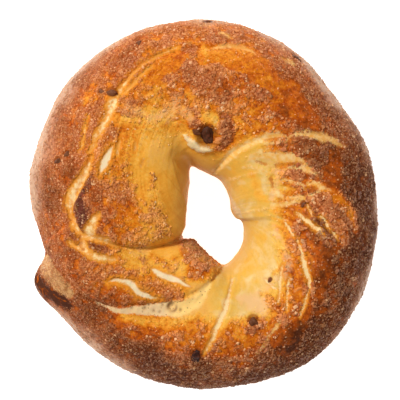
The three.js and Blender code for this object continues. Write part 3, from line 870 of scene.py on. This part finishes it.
def random_turns(count):
    """Random rotation matrices."""
    w, x, y, z = (lambda q: q / np.linalg.norm(q, axis=0))(rng.normal(size=(4, count)))
    return np.array([
        [1 - 2 * (y * y + z * z), 2 * (x * y - w * z), 2 * (x * z + w * y)],
        [2 * (x * y + w * z), 1 - 2 * (x * x + z * z), 2 * (y * z - w * x)],
        [2 * (x * z - w * y), 2 * (y * z + w * x), 1 - 2 * (x * x + y * y)],
    ]).transpose(2, 0, 1)


CUBE_POINTS = np.array([(x, y, z) for x in (-1, 1) for y in (-1, 1) for z in (-1, 1)], float)
CUBE_FACES = np.array([
    (0, 1, 3), (0, 3, 2), (4, 6, 7), (4, 7, 5), (0, 4, 5), (0, 5, 1),
    (2, 3, 7), (2, 7, 6), (0, 2, 6), (0, 6, 4), (1, 5, 7), (1, 7, 3),
])


def scatter(crust, faces, weight, count):
    """Random places on the crust, more where weight is high: points, normals and the crust's
    vertex at each."""
    corners = crust.point[faces]
    diagonals = corners[:, 2] - corners[:, 0], corners[:, 3] - corners[:, 1]
    chance = np.linalg.norm(np.cross(*diagonals), axis=1) * weight[faces].mean(axis=1)
    chosen = rng.choice(len(faces), count, p=chance / chance.sum())
    u, v = rng.random((2, count, 1))
    one, two, three, four = corners[chosen].transpose(1, 0, 2)
    points = (1 - v) * ((1 - u) * one + u * two) + v * ((1 - u) * four + u * three)
    normals = np.cross(two - one, four - one)
    normals /= np.linalg.norm(normals, axis=1, keepdims=True)
    return points, normals, faces[chosen, 0]


def grains(name, crust, faces, weight, template, count, sizes, jitter, stretch, sink):
    """Joined small bodies on the crust, each a template that is stretched, turned and sunk in."""
    template_points, template_faces = template
    points, normals, under = scatter(crust, faces, weight, count)
    size = sizes[0] + (sizes[1] - sizes[0]) * rng.random(count) ** SMALL_SHARE
    size *= crust.by_bearing(GRAIN_SIZE)[under]
    size *= INNER_GRAINS - (INNER_GRAINS - OUTER_GRAINS) * smoothstep(0.5, 0.7, crust.across[under])
    body = template_points[None] + jitter * rng.uniform(-1, 1, (count, *template_points.shape))
    body *= 1 + stretch * rng.uniform(-1, 1, (count, 1, 3))
    body = np.einsum("nij,nkj->nki", random_turns(count), body * size[:, None, None])
    body += (points + normals * (size * (1 - 2 * sink))[:, None])[:, None]
    body[:, :, 2] = body[:, :, 2].clip(LOWEST_GRAIN)
    corner_count = len(template_points)
    all_faces = template_faces[None] + (np.arange(count) * corner_count)[:, None, None]
    values = {"tint": rng.random(count)}
    values.update({label: crust.marks[label][under] for label in ("bake", "sugar", "side", "cinnamon")})
    attributes = {label: np.repeat(each, corner_count) for label, each in values.items()}
    return add_mesh(name, body.reshape(-1, 3), all_faces.reshape(-1, 3), attributes, smooth=False)


def ball(level):
    """The points and triangles of an even ball of radius 1."""
    form = bmesh.new()
    bmesh.ops.create_icosphere(form, subdivisions=level, radius=1)
    points = np.array([corner.co for corner in form.verts])
    faces = np.array([[corner.index for corner in face.verts] for face in form.faces])
    form.free()
    return points, faces


def raisin_bits(crust):
    """Wrinkled dark bits, half sunk in the crust."""
    unit, triangles = ball(4)
    points, faces, tones = [], [], []
    for number, (px, py, length, width, bearing, tone) in enumerate(BITS.values()):
        vertex = crust.top_vertex(px, py)
        creased = np.abs(layered_noise(unit * width + 50 * number, *BIT_CREASES))
        uneven = noise(unit * 1.2 + 50 * number, *BIT_LUMPS)
        swollen = unit * (0.85 + 0.35 * uneven + 0.6 * creased)[:, None]
        turn = math.radians(bearing)
        normal = crust.normal[vertex]
        axis_y = np.cross(normal, (math.cos(turn), math.sin(turn), 0))
        axis_y /= np.linalg.norm(axis_y)
        axes = np.array([np.cross(axis_y, normal), axis_y, normal])
        body = swollen * (length, width, width * BIT_FLATNESS) @ axes
        points.append(body + crust.point[vertex] - BIT_SINK * width * normal)
        faces.append(triangles + number * len(unit))
        tones.append(np.full(len(unit), tone))
    return add_mesh("raisin_bits", np.vstack(points), np.vstack(faces), {"tone": np.concatenate(tones)})


# ---- Materials ----

def colour(red, green, blue):
    """A linear colour from one given in 0 to 255 as a screen shows it."""
    def linear(value):
        value /= 255
        return value / 12.92 if value <= 0.04045 else ((value + 0.055) / 1.055) ** 2.4
    return (linear(red), linear(green), linear(blue), 1.0)


class Output:
    """A node's output, which numbers and other outputs can be added to, taken from or multiplied with."""

    def __init__(self, recipe, socket):
        self.recipe = recipe
        self.socket = socket

    def __add__(self, other):
        return self.recipe.math("ADD", self, other)

    def __sub__(self, other):
        return self.recipe.math("SUBTRACT", self, other)

    def __mul__(self, other):
        return self.recipe.math("MULTIPLY", self, other)


class Recipe:
    """A material's nodes, under short names. base is the colour so far, and values may be numbers,
    colours or outputs."""

    def __init__(self, name, **settings):
        self.material = bpy.data.materials.new(name)
        self.material.use_nodes = True
        self.nodes = self.material.node_tree.nodes
        self.links = self.material.node_tree.links
        self.shader = self.nodes["Principled BSDF"]
        self.fill(self.shader, **settings)
        self.fill(self.shader, Subsurface_Radius=GLOW_RADIUS, Subsurface_Scale=GLOW_DEPTH * MM)
        self.place = Output(self, self.node("TexCoord").outputs["Object"])

    def set(self, socket, value):
        if isinstance(value, Output):
            self.links.new(value.socket, socket)
        else:
            socket.default_value = value

    def fill(self, node, **inputs):
        """Sets a node's inputs. In their names _ stands for a space."""
        for label, value in inputs.items():
            self.set(node.inputs[label.replace("_", " ")], value)

    def node(self, kind, **inputs):
        node = self.nodes.new("ShaderNode" + kind)
        self.fill(node, **inputs)
        return node

    def noise(self, size, detail=3.0, roughness=0.55, distortion=0.0, place=None):
        """Noise from 0 to 1 with lumps about size mm across."""
        node = self.node("TexNoise", Vector=place or self.place, Scale=1 / (size * MM))
        self.fill(node, Detail=detail, Roughness=roughness, Distortion=distortion)
        return Output(self, node.outputs["Fac"])

    def cells(self, size):
        """Cells about size mm across: the distance from a cell's middle, and each cell's own tone."""
        node = self.node("TexVoronoi", Vector=self.place, Scale=1 / (size * MM))
        return [Output(self, node.outputs[label]) for label in ("Distance", "Color")]

    def mark(self, label, output="Fac"):
        node = self.node("Attribute")
        node.attribute_name = label
        return Output(self, node.outputs[output])

    def math(self, kind, *values, clamp=False):
        node = self.node("Math")
        node.operation = kind
        node.use_clamp = clamp
        for socket, value in zip(node.inputs, values):
            self.set(socket, value)
        return Output(self, node.outputs[0])

    def step(self, low, high, value, smooth=True):
        """0 under low, 1 over high, and between them a smooth rise. high may be under low."""
        node = self.node("MapRange")
        node.interpolation_type = "SMOOTHSTEP" if smooth else "LINEAR"
        self.fill(node, From_Min=low, From_Max=high, Value=value)
        return Output(self, node.outputs["Result"])

    def mix(self, share, one, other, kind="MIX"):
        node = self.node("Mix")
        node.data_type = "RGBA"
        node.blend_type = kind
        node.clamp_factor = True
        colours = [socket for socket in node.inputs if socket.type == "RGBA"]
        for socket, value in zip([node.inputs["Factor"], *colours], (share, one, other)):
            self.set(socket, value)
        return Output(self, next(socket for socket in node.outputs if socket.type == "RGBA"))

    def ramp(self, value, stops):
        node = self.node("ValToRGB", Fac=value)
        elements = node.color_ramp.elements
        while len(elements) < len(stops):
            elements.new(0.5)
        for element, (place, shade) in zip(elements, stops):
            element.position = place
            element.color = shade
        return Output(self, node.outputs["Color"])

    def bump(self, height, depth, below=None):
        """Bump whose height of 1 is depth mm, on top of the bump below."""
        node = self.node("Bump", Strength=1.0, Distance=depth * MM, Height=height)
        if below is not None:
            self.fill(node, Normal=below)
        return Output(self, node.outputs["Normal"])

    def lay(self, share, shade, kind="MIX"):
        """Lays a colour over the base."""
        self.base = self.mix(share, self.base, shade, kind)

    def finish(self, **inputs):
        self.fill(self.shader, Base_Color=self.base, **inputs)
        return self.material


CREAM = colour(232, 198, 142)
PALE_GOLD = colour(231, 183, 86)
YELLOW = colour(243, 179, 68)
GOLD = colour(236, 159, 50)
LEFT_GOLD = colour(240, 176, 84)
MOTTLE_PALE = colour(238, 204, 142)
MOTTLE_YELLOW = colour(234, 178, 72)
ORANGE = colour(222, 124, 14)
RUST = colour(190, 86, 8)
BROWN = colour(138, 62, 10)
DARK_BROWN = colour(84, 36, 12)
PINK_CREAM = colour(238, 190, 136)
PEACH = colour(250, 188, 120)
STRETCH_CREAM = colour(250, 214, 148)
STRETCH_YELLOW = colour(242, 180, 86)
STRETCH_PALE = colour(244, 194, 120)
STRETCH_GOLD = colour(226, 160, 74)
SPLIT_GOLD = colour(226, 152, 60)
SPLIT_CREAM = colour(244, 212, 154)
SPLIT_WHITE = colour(240, 216, 174)
CRUMB_WHITE = colour(224, 190, 142)
CRUMB_YELLOW = colour(246, 204, 124)
CRUMB_SHADE = colour(142, 102, 66)
LINE_ORANGE = colour(212, 128, 28)
LINE_BROWN = colour(182, 98, 34)
SAND_PALE = colour(226, 156, 78)
SAND_LIGHT = colour(212, 128, 54)
SAND_RUST = colour(176, 98, 54)
SAND_DARK = colour(104, 50, 27)
SAND_MAUVE = colour(188, 112, 74)
SIDE_PALE = colour(206, 167, 138)
SIDE_PINK = colour(187, 139, 108)
SIDE_PAINTED_SHADE = colour(166, 134, 120)
SIDE_TAN = colour(206, 150, 100)
SIDE_BROWN = colour(176, 118, 72)
WALL_TAN = colour(214, 172, 104)
BASE_BROWN = colour(186, 124, 66)
BASE_DARK = colour(128, 74, 38)
ROPE_TAN = colour(206, 154, 98)
ROPE_BROWN = colour(160, 102, 56)
BURNT = colour(80, 46, 33)
CINNAMON_DARK = colour(84, 36, 32)
CINNAMON_MAUVE = colour(124, 64, 54)
RAISIN = colour(44, 18, 12)
RAISIN_EDGE = colour(104, 50, 28)
RAISIN_PALE = colour(128, 76, 42)
# Pale sugar crystals, their colour partly a painted glint.
GLINTING_CRYSTAL = colour(240, 190, 138)
BAKE_COLOURS = [
    (0.0, CREAM), (0.18, PALE_GOLD), (0.29, YELLOW), (0.40, GOLD), (0.55, ORANGE), (0.70, RUST),
    (0.86, BROWN), (1.0, DARK_BROWN),
]
SAND_COLOURS = [(0.25, SAND_PALE), (0.5, SAND_LIGHT), (0.68, SAND_RUST), (0.9, SAND_DARK)]
GRAIN_COLOURS = [(0.2, PALE_GOLD), (0.38, GOLD), (0.55, ORANGE), (0.7, RUST), (0.9, BROWN)]
WHITE = (1.0, 1.0, 1.0, 1.0)
# How far light spreads inside dough and sugar: most in red, and in mm.
GLOW_RADIUS = (1.0, 0.6, 0.35)
GLOW_DEPTH = 0.4
CRUST_GLOW = 0.25
WARM_GLOSS = (1.0, 0.75, 0.5, 1.0)
CRUST_GLOSS = 0.16  # specular level, and 0 where burnt
PAINTED_LIGHT = (0.20, 0.13, 0.045, 1.0)  # what painted highlights and painted light add to the colour
SHADE_AND_DARK_TONE = (0.70, 0.57, 0.36, 1.0)  # multiplier of painted shade in hollows, and of darker grains
# Noise in the colours: size in mm, detail, roughness and distortion.
FINE = (0.5, 2.0, 0.6)
FLAKES = (0.75, 2.0, 0.7, 0.4)
WRINKLE_LINES = (1.3, 2.0, 0.7)
STREAKY = (1.4, 2.0)
LINE_TONES = (1.8, 2.0)
MEDIUM = (2.2, 3.0, 0.6, 0.6)
MAUVE_PATCHES = (4.0, 2.0)
MOTTLES = (4.0, 1.5, 0.45, 0.3)
BROAD = (6.0, 3.0)
RAISIN_CREASES = (0.7, 3.0, 0.6)
GLINTS = 0.4  # mm
SUGAR_CELL = 0.95
PORE_CELL = 1.0
# The largest share that a layer of colour takes.
COVER = {
    "sand": 0.75, "sand on the side": 0.5, "low side": 0.8, "wall": 0.5, "pink": 0.75, "stretch": 0.85,
    "rim": 0.75, "cinnamon": 0.9, "line": 0.75, "pit": 0.8, "raisin shadow ring": 0.7,
}
GRAIN_COVER = {"sand": 0.6, "side": 0.7, "cinnamon": 0.85, "shade": 0.4}
# How much the flecks move a mark's edge, in mm for the noise's whole range.
EDGE = 1.3
RAGGED_EDGE = {"lip": 1.6, "stretch": 1.6, "burnt": 3.0, "cinnamon": 4.0}
BUMPS = {"fine": 0.15, "flakes": 0.3, "domes": 0.2, "raisin": 0.3}  # mm


class CrustRecipe(Recipe):
    """The crust's layers of colour, from the bottom up."""

    def __init__(self):
        super().__init__("baked_crust", Specular_Tint=WARM_GLOSS, Subsurface_Weight=CRUST_GLOW)
        self.fine = self.noise(*FINE)
        self.medium = self.noise(*MEDIUM)
        self.broad = self.noise(*BROAD)
        self.streaky = self.noise(*STREAKY)
        self.flecks = self.fine - 0.5
        self.uneven = self.medium - 0.5
        self.crusty = self.mark("crusty")
        self.sugar = self.mark("sugar")
        self.baked = self.mark("bake")
        self.streaks = self.mark("streaks")
        self.across = self.mark("across")
        self.right = self.mark("right")

    def inside(self, label, low, high):
        """How far inside a mark a place is, 0 to 1, with an edge that the flecks make ragged."""
        return self.step(low, high, self.mark(label) + self.flecks * RAGGED_EDGE.get(label, EDGE))

    def dough(self):
        """From cream to dark brown: clear gold on the left, and mottled on the right."""
        self.bake = self.baked + self.uneven * 0.4 * (self.crusty + 0.5) + self.streaks * 0.07
        self.base = self.ramp(self.bake, BAKE_COLOURS)
        self.lay(self.step(0.36, 0.2, self.bake) * self.step(1.0, 0.0, self.right), LEFT_GOLD)
        pale = self.step(0.38, 0.22, self.bake) * self.right
        mottles = self.noise(*MOTTLES)
        self.lay(pale * self.step(0.50, 0.75, mottles), MOTTLE_PALE)
        self.lay(pale * self.step(0.50, 0.28, mottles), MOTTLE_YELLOW)

    def cinnamon_sugar(self):
        """Sugar heaped in small domes."""
        distance, self.tone = self.cells(SUGAR_CELL)
        self.dome = self.step(0.75, 0.15, distance)
        heap = self.mark("granules") * 0.35 + (self.dome - 0.5) * 0.5
        heaped = self.step(0.15, 0.95, self.sugar + (heap + self.flecks))
        self.sugared = heaped * self.step(0.0, 0.15, self.sugar)
        self.sand = sand_colour(self)
        self.lay(self.sugared * COVER["sand"], self.sand)

    def pale_side(self):
        upper = self.mix(self.broad, SIDE_PALE, SIDE_PINK)
        lower = self.mix(self.broad, SIDE_TAN, SIDE_BROWN)
        # Where the crust is most baked, at the right and below, the pale side turns grey: painted shade.
        side = self.mix(self.step(0.80, 0.96, self.baked), upper, SIDE_PAINTED_SHADE)
        side = self.mix(self.mark("low") * COVER["low side"], side, lower)
        side = self.mix(self.sugared * COVER["sand on the side"], side, self.sand)
        self.lay(self.mark("side"), side)

    def light_and_dark(self):
        """Flecks of painted highlight where flakes, wrinkles and sugar stand up, and painted shade in
        hollows.
        """
        wrinkles = self.noise(*WRINKLE_LINES, place=self.mark("lay", "Vector"))
        flakes = self.noise(*FLAKES) + self.mark("pebbles") * 0.10 + (wrinkles - 0.5) * 0.5
        toned = (self.tone - 0.5) * 0.4 * self.dome
        self.raised = flakes + (toned + (self.dome - 0.5) * 0.1) * self.sugared
        lit = (self.sugar * 0.46 + (self.crusty * 0.24 + 0.06)) * self.step(1.05, 0.6, self.baked)
        self.lay(self.step(0.5, 0.68, self.raised) * lit, PAINTED_LIGHT, "ADD")
        self.lay(self.step(0.5, 0.32, self.raised) * (self.crusty * 0.78 + 0.15), SHADE_AND_DARK_TONE, "MULTIPLY")

    def wall_and_patches(self):
        """The hole's wall, the pink patches and the rope's end."""
        self.lay(self.step(0.14, 0.02, self.across) * COVER["wall"], WALL_TAN)
        pink = self.step(-1.2, 1.4, self.mark("pink") + (self.uneven * 5.0 + self.streaks * 0.8))
        self.lay(pink * COVER["pink"], self.mix(self.right, PEACH, PINK_CREAM))
        toasted = self.step(0.38, 0.62, self.mix(0.5, self.fine, self.medium))
        self.lay(self.step(-0.4, 0.5, self.mark("rope_end")), self.mix(toasted, ROPE_TAN, ROPE_BROWN))

    def stretches(self):
        ragged = self.flecks * RAGGED_EDGE["stretch"] + self.uneven * 1.6
        stretch = self.step(-0.6, 0.5, self.mark("stretch") + ragged)
        tinged = self.step(0.3, 0.7, self.streaky)
        by_hole = self.mix(tinged, STRETCH_CREAM, STRETCH_YELLOW)
        far_out = self.mix(tinged, STRETCH_PALE, STRETCH_GOLD)
        shade = self.mix(self.step(0.5, 0.85, self.across), by_hole, far_out)
        self.lay(stretch * COVER["stretch"], shade)

    def splits(self):
        """Splits with orange rims, dark cinnamon and brown lines beside them, one line a painted shadow.
        """
        split = self.mark("split") + self.flecks * EDGE
        near = self.math("MAXIMUM", self.step(-1.0, 0.0, split), self.inside("white", -1.9, -0.2))
        rim = near * self.step(0.2, 0.5, self.bake) * COVER["rim"]
        self.lay(rim, self.mix(self.medium, GOLD, ORANGE))
        cinnamon = self.mix(self.step(0.42, 0.7, self.medium), CINNAMON_DARK, CINNAMON_MAUVE)
        self.lay(self.inside("cinnamon", -1.0, 1.2) * COVER["cinnamon"], cinnamon)
        blotchy = split + (self.streaky - 0.5) * (self.right * -3.0 + 4.0)
        inmost = self.step(self.right * -0.5 + 0.3, self.right * -1.2 + 1.9, blotchy)
        self.lay(self.step(-0.15, 0.25, split), self.mix(inmost, SPLIT_GOLD, SPLIT_CREAM))
        self.lay(self.step(0.1, 0.8, self.mark("white") + self.uneven * 1.2), SPLIT_WHITE)
        line_colour = self.mix(self.step(0.35, 0.65, self.noise(*LINE_TONES)), LINE_ORANGE, LINE_BROWN)
        self.lay(self.inside("brown_line", -0.3, 0.3) * COVER["line"], line_colour)

    def crumb_and_lip(self):
        """Torn crumb with its pores, and the lip of the raisin's pocket."""
        distance, tone = self.cells(PORE_CELL)
        pit = self.step(0.3, 0.1, distance) * self.step(0.5, 0.7, tone)
        yellow = self.mark("yellow")
        crumb = self.mix(yellow + self.uneven * 0.8, CRUMB_WHITE, CRUMB_YELLOW)
        crumb = self.mix(pit * COVER["pit"], crumb, CRUMB_SHADE)
        crumb = self.mix(self.mark("pore"), crumb, CRUMB_SHADE)
        self.torn = self.inside("tear", yellow * -0.9 - 0.25, 0.35)
        self.lay(self.torn, crumb)
        self.lay(self.inside("lip", -0.3, 0.3), self.mix(self.medium, STRETCH_CREAM, SPLIT_WHITE))

    def dark_parts(self):
        """The base, the burnt rim and brown rings of painted shadow round raisin bits."""
        base = self.mix(self.step(0.35, 0.65, self.broad), BASE_BROWN, BASE_DARK)
        self.lay(self.mark("bottom"), base)
        self.burnt = self.inside("burnt", -0.9, 0.5)
        self.lay(self.burnt * self.step(0.3, 0.5, self.medium), BURNT)
        self.lay(self.step(1.5, 1.0, self.mark("bit")) * COVER["raisin shadow ring"], BROWN)

    def surface(self):
        """The bumps, how dull the crust is, and its gloss."""
        normal = self.bump(self.fine * (self.sugared + 0.25), BUMPS["fine"])
        normal = self.bump(self.raised * self.crusty, BUMPS["flakes"], normal)
        normal = self.bump(self.dome * self.sugared, BUMPS["domes"], normal)
        dull = self.math("ADD", self.sugared * 0.3 + 0.5, self.torn * 0.3, clamp=True)
        gloss = self.burnt * -CRUST_GLOSS + CRUST_GLOSS
        return {"Normal": normal, "Roughness": dull, "Specular_IOR_Level": gloss}


def crust_material():
    make = CrustRecipe()
    make.dough()
    make.cinnamon_sugar()
    make.pale_side()
    make.light_and_dark()
    make.wall_and_patches()
    make.stretches()
    make.splits()
    make.crumb_and_lip()
    make.dark_parts()
    return make.finish(**make.surface())


def sand_colour(make):
    """Cinnamon sugar: pinker in some places than in others, and darker on brown crust."""
    bake = make.mark("bake")
    mauve = make.step(0.42, 0.62, make.noise(*MAUVE_PATCHES)) * make.step(0.9, 0.55, bake)
    return make.mix(mauve, make.ramp(bake, SAND_COLOURS), SAND_MAUVE)


def colour_grains(make):
    """Sand colour on each grain, darker by its own tint, with painted light and painted glints on top."""
    bake, tint = make.mark("bake"), make.mark("tint")
    make.base = make.ramp(bake, GRAIN_COLOURS)
    make.lay(make.mark("sugar") * GRAIN_COVER["sand"], sand_colour(make))
    make.lay(make.mark("side") * GRAIN_COVER["side"], SIDE_PINK)
    make.lay(make.step(-0.8, 1.6, make.mark("cinnamon")) * GRAIN_COVER["cinnamon"], CINNAMON_DARK)
    # Grains with a low tint are darker in their own colour.
    make.lay(make.step(0.5, 0.0, tint) * GRAIN_COVER["shade"], SHADE_AND_DARK_TONE, "MULTIPLY")
    # Painted light against each grain's own shading.
    make.lay(make.step(-0.4, 1.0, tint) * make.step(1.3, 0.6, bake), PAINTED_LIGHT, "ADD")
    # A painted glint on the palest crystals.
    make.lay(make.step(0.88, 0.94, tint) * make.step(1.25, 0.35, bake), GLINTING_CRYSTAL)


def sugar_material():
    make = Recipe("sugar_crystals", Specular_IOR_Level=0.5)
    colour_grains(make)
    return make.finish(Roughness=make.step(-0.3, 1.0, make.noise(GLINTS), smooth=False))


def cinnamon_material():
    make = Recipe("cinnamon_crumbs", Specular_IOR_Level=0.4, Roughness=0.5)
    colour_grains(make)
    return make.finish()


def raisin_material():
    make = Recipe("raisin", Specular_IOR_Level=0.15)
    creases = make.noise(*RAISIN_CREASES)
    make.base = make.mix(make.mark("tone"), RAISIN, RAISIN_PALE)
    make.lay(make.step(0.45, 0.7, creases), RAISIN_EDGE)
    dull = make.step(0.0, 1.1, creases, smooth=False)
    return make.finish(Roughness=dull, Normal=make.bump(creases, BUMPS["raisin"]))


# ---- The bagel ----

def show(piece, material):
    piece.data.materials.append(material)
    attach(piece, "root")


def fit_to_solid(crust):
    """Puts the fine ring where the solid is: the same box in plan, and the same base."""
    low, high = (np.array(corner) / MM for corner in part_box("bagel"))
    centre = (crust.point.min(axis=0) + crust.point.max(axis=0)) / 2
    crust.point[:, :2] += ((low + high) / 2 - centre)[:2]


def grain_weights(crust):
    """Where crystals and crumbs lie: on heaped sugar, and a few crystals on the rest of the crust."""
    depth = crust.depth
    opened = [depth[mark] for mark in ("split", "tear", "lip", "burnt")] + [depth["stretch"] - 0.3]
    free = smoothstep(0.9, 1.3, crust.to_bit) * smoothstep(8, 16, crust.point[:, 2])
    free *= smoothstep(0.1, -0.5, np.max(opened, axis=0)) * smoothstep(-0.3, -1.3, depth["white"])
    heaped = crust.sugar * free * smoothstep(-0.9, 0.5, crust.granules)
    outside = smoothstep(0.55, 0.85, crust.across)
    crystals = heaped * (0.4 + 0.6 * outside) + (0.2 * crust.crusty + 0.001) * free
    crumbs = heaped**1.5 * (1 - 0.4 * outside)
    return crystals, crumbs


def build_bagel():
    crust = Crust()
    fit_to_solid(crust)
    faces = crust.faces()
    dough = add_mesh("bagel_crust", crust.point, faces, crust.marks)
    show(dough, crust_material())
    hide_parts("bagel")

    crystal = (CUBE_POINTS * CRYSTAL_SIDE, CUBE_FACES)
    on_crystals, on_crumbs = grain_weights(crust)
    crystals = grains("sugar_crystals", crust, faces, on_crystals, crystal, **CRYSTALS)
    show(crystals, sugar_material())
    crumbs = grains("cinnamon_crumbs", crust, faces, on_crumbs, ball(1), **CRUMBS)
    show(crumbs, cinnamon_material())
    show(raisin_bits(crust), raisin_material())


# ---- Stage ----
FLOOR_HALF = 3000.0  # mm
FLOOR_TONES = colour(250, 250, 250), colour(248, 248, 247)
FLOOR_TONE_SIZE = 60.0  # mm
FLOOR_GLOW = 0.9  # the floor lights itself a little, so that it stays white in the hole
SKY_STRENGTH = 0.42
KEY_STRENGTH = 2.6
KEY_ANGLE = 14.0
KEY_FROM = (140.0, 48.0)  # bearing and height of the key light, in degrees
KEY_COLOUR = (1.0, 0.98, 0.95)
FARTHEST = 10.0  # m that the camera sees


def build_stage():
    corners = np.array([(-1, -1, 0), (1, -1, 0), (1, 1, 0), (-1, 1, 0)]) * FLOOR_HALF
    floor = add_mesh("floor", corners, np.array([(0, 1, 2, 3)]))
    make = Recipe(
        "floor", Roughness=0.8, Specular_IOR_Level=0.1,
        Emission_Color=WHITE, Emission_Strength=FLOOR_GLOW,
    )
    make.base = make.mix(make.noise(FLOOR_TONE_SIZE), *FLOOR_TONES)
    floor.data.materials.append(make.finish())


def build_light():
    world = bpy.data.worlds.new("studio")
    bpy.context.scene.world = world
    world.use_nodes = True
    background = world.node_tree.nodes["Background"]
    background.inputs["Color"].default_value = WHITE
    background.inputs["Strength"].default_value = SKY_STRENGTH
    key = bpy.data.lights.new("key", "SUN")
    key.energy = KEY_STRENGTH
    key.angle = math.radians(KEY_ANGLE)
    key.color = KEY_COLOUR
    lamp = link(bpy.data.objects.new("key", key))
    bearing, height = (math.radians(a) for a in KEY_FROM)
    flat = math.cos(height)
    towards = Vector((math.cos(bearing) * flat, math.sin(bearing) * flat, math.sin(height)))
    lamp.rotation_euler = towards.to_track_quat("Z", "Y").to_euler()


def build_camera():
    lens = bpy.data.cameras.new("camera")
    lens.lens = LENS
    lens.sensor_width = SENSOR
    lens.clip_end = FARTHEST
    camera = link(bpy.data.objects.new("camera", lens))
    camera.location = (CAMERA_PLACE[0] * MM, CAMERA_PLACE[1] * MM, CAMERA_HEIGHT * MM)
    bpy.context.scene.camera = camera
    bpy.context.scene.view_settings.view_transform = "Standard"


build_camera()
build_light()
build_stage()
build_bagel()
bpy.context.view_layer.update()
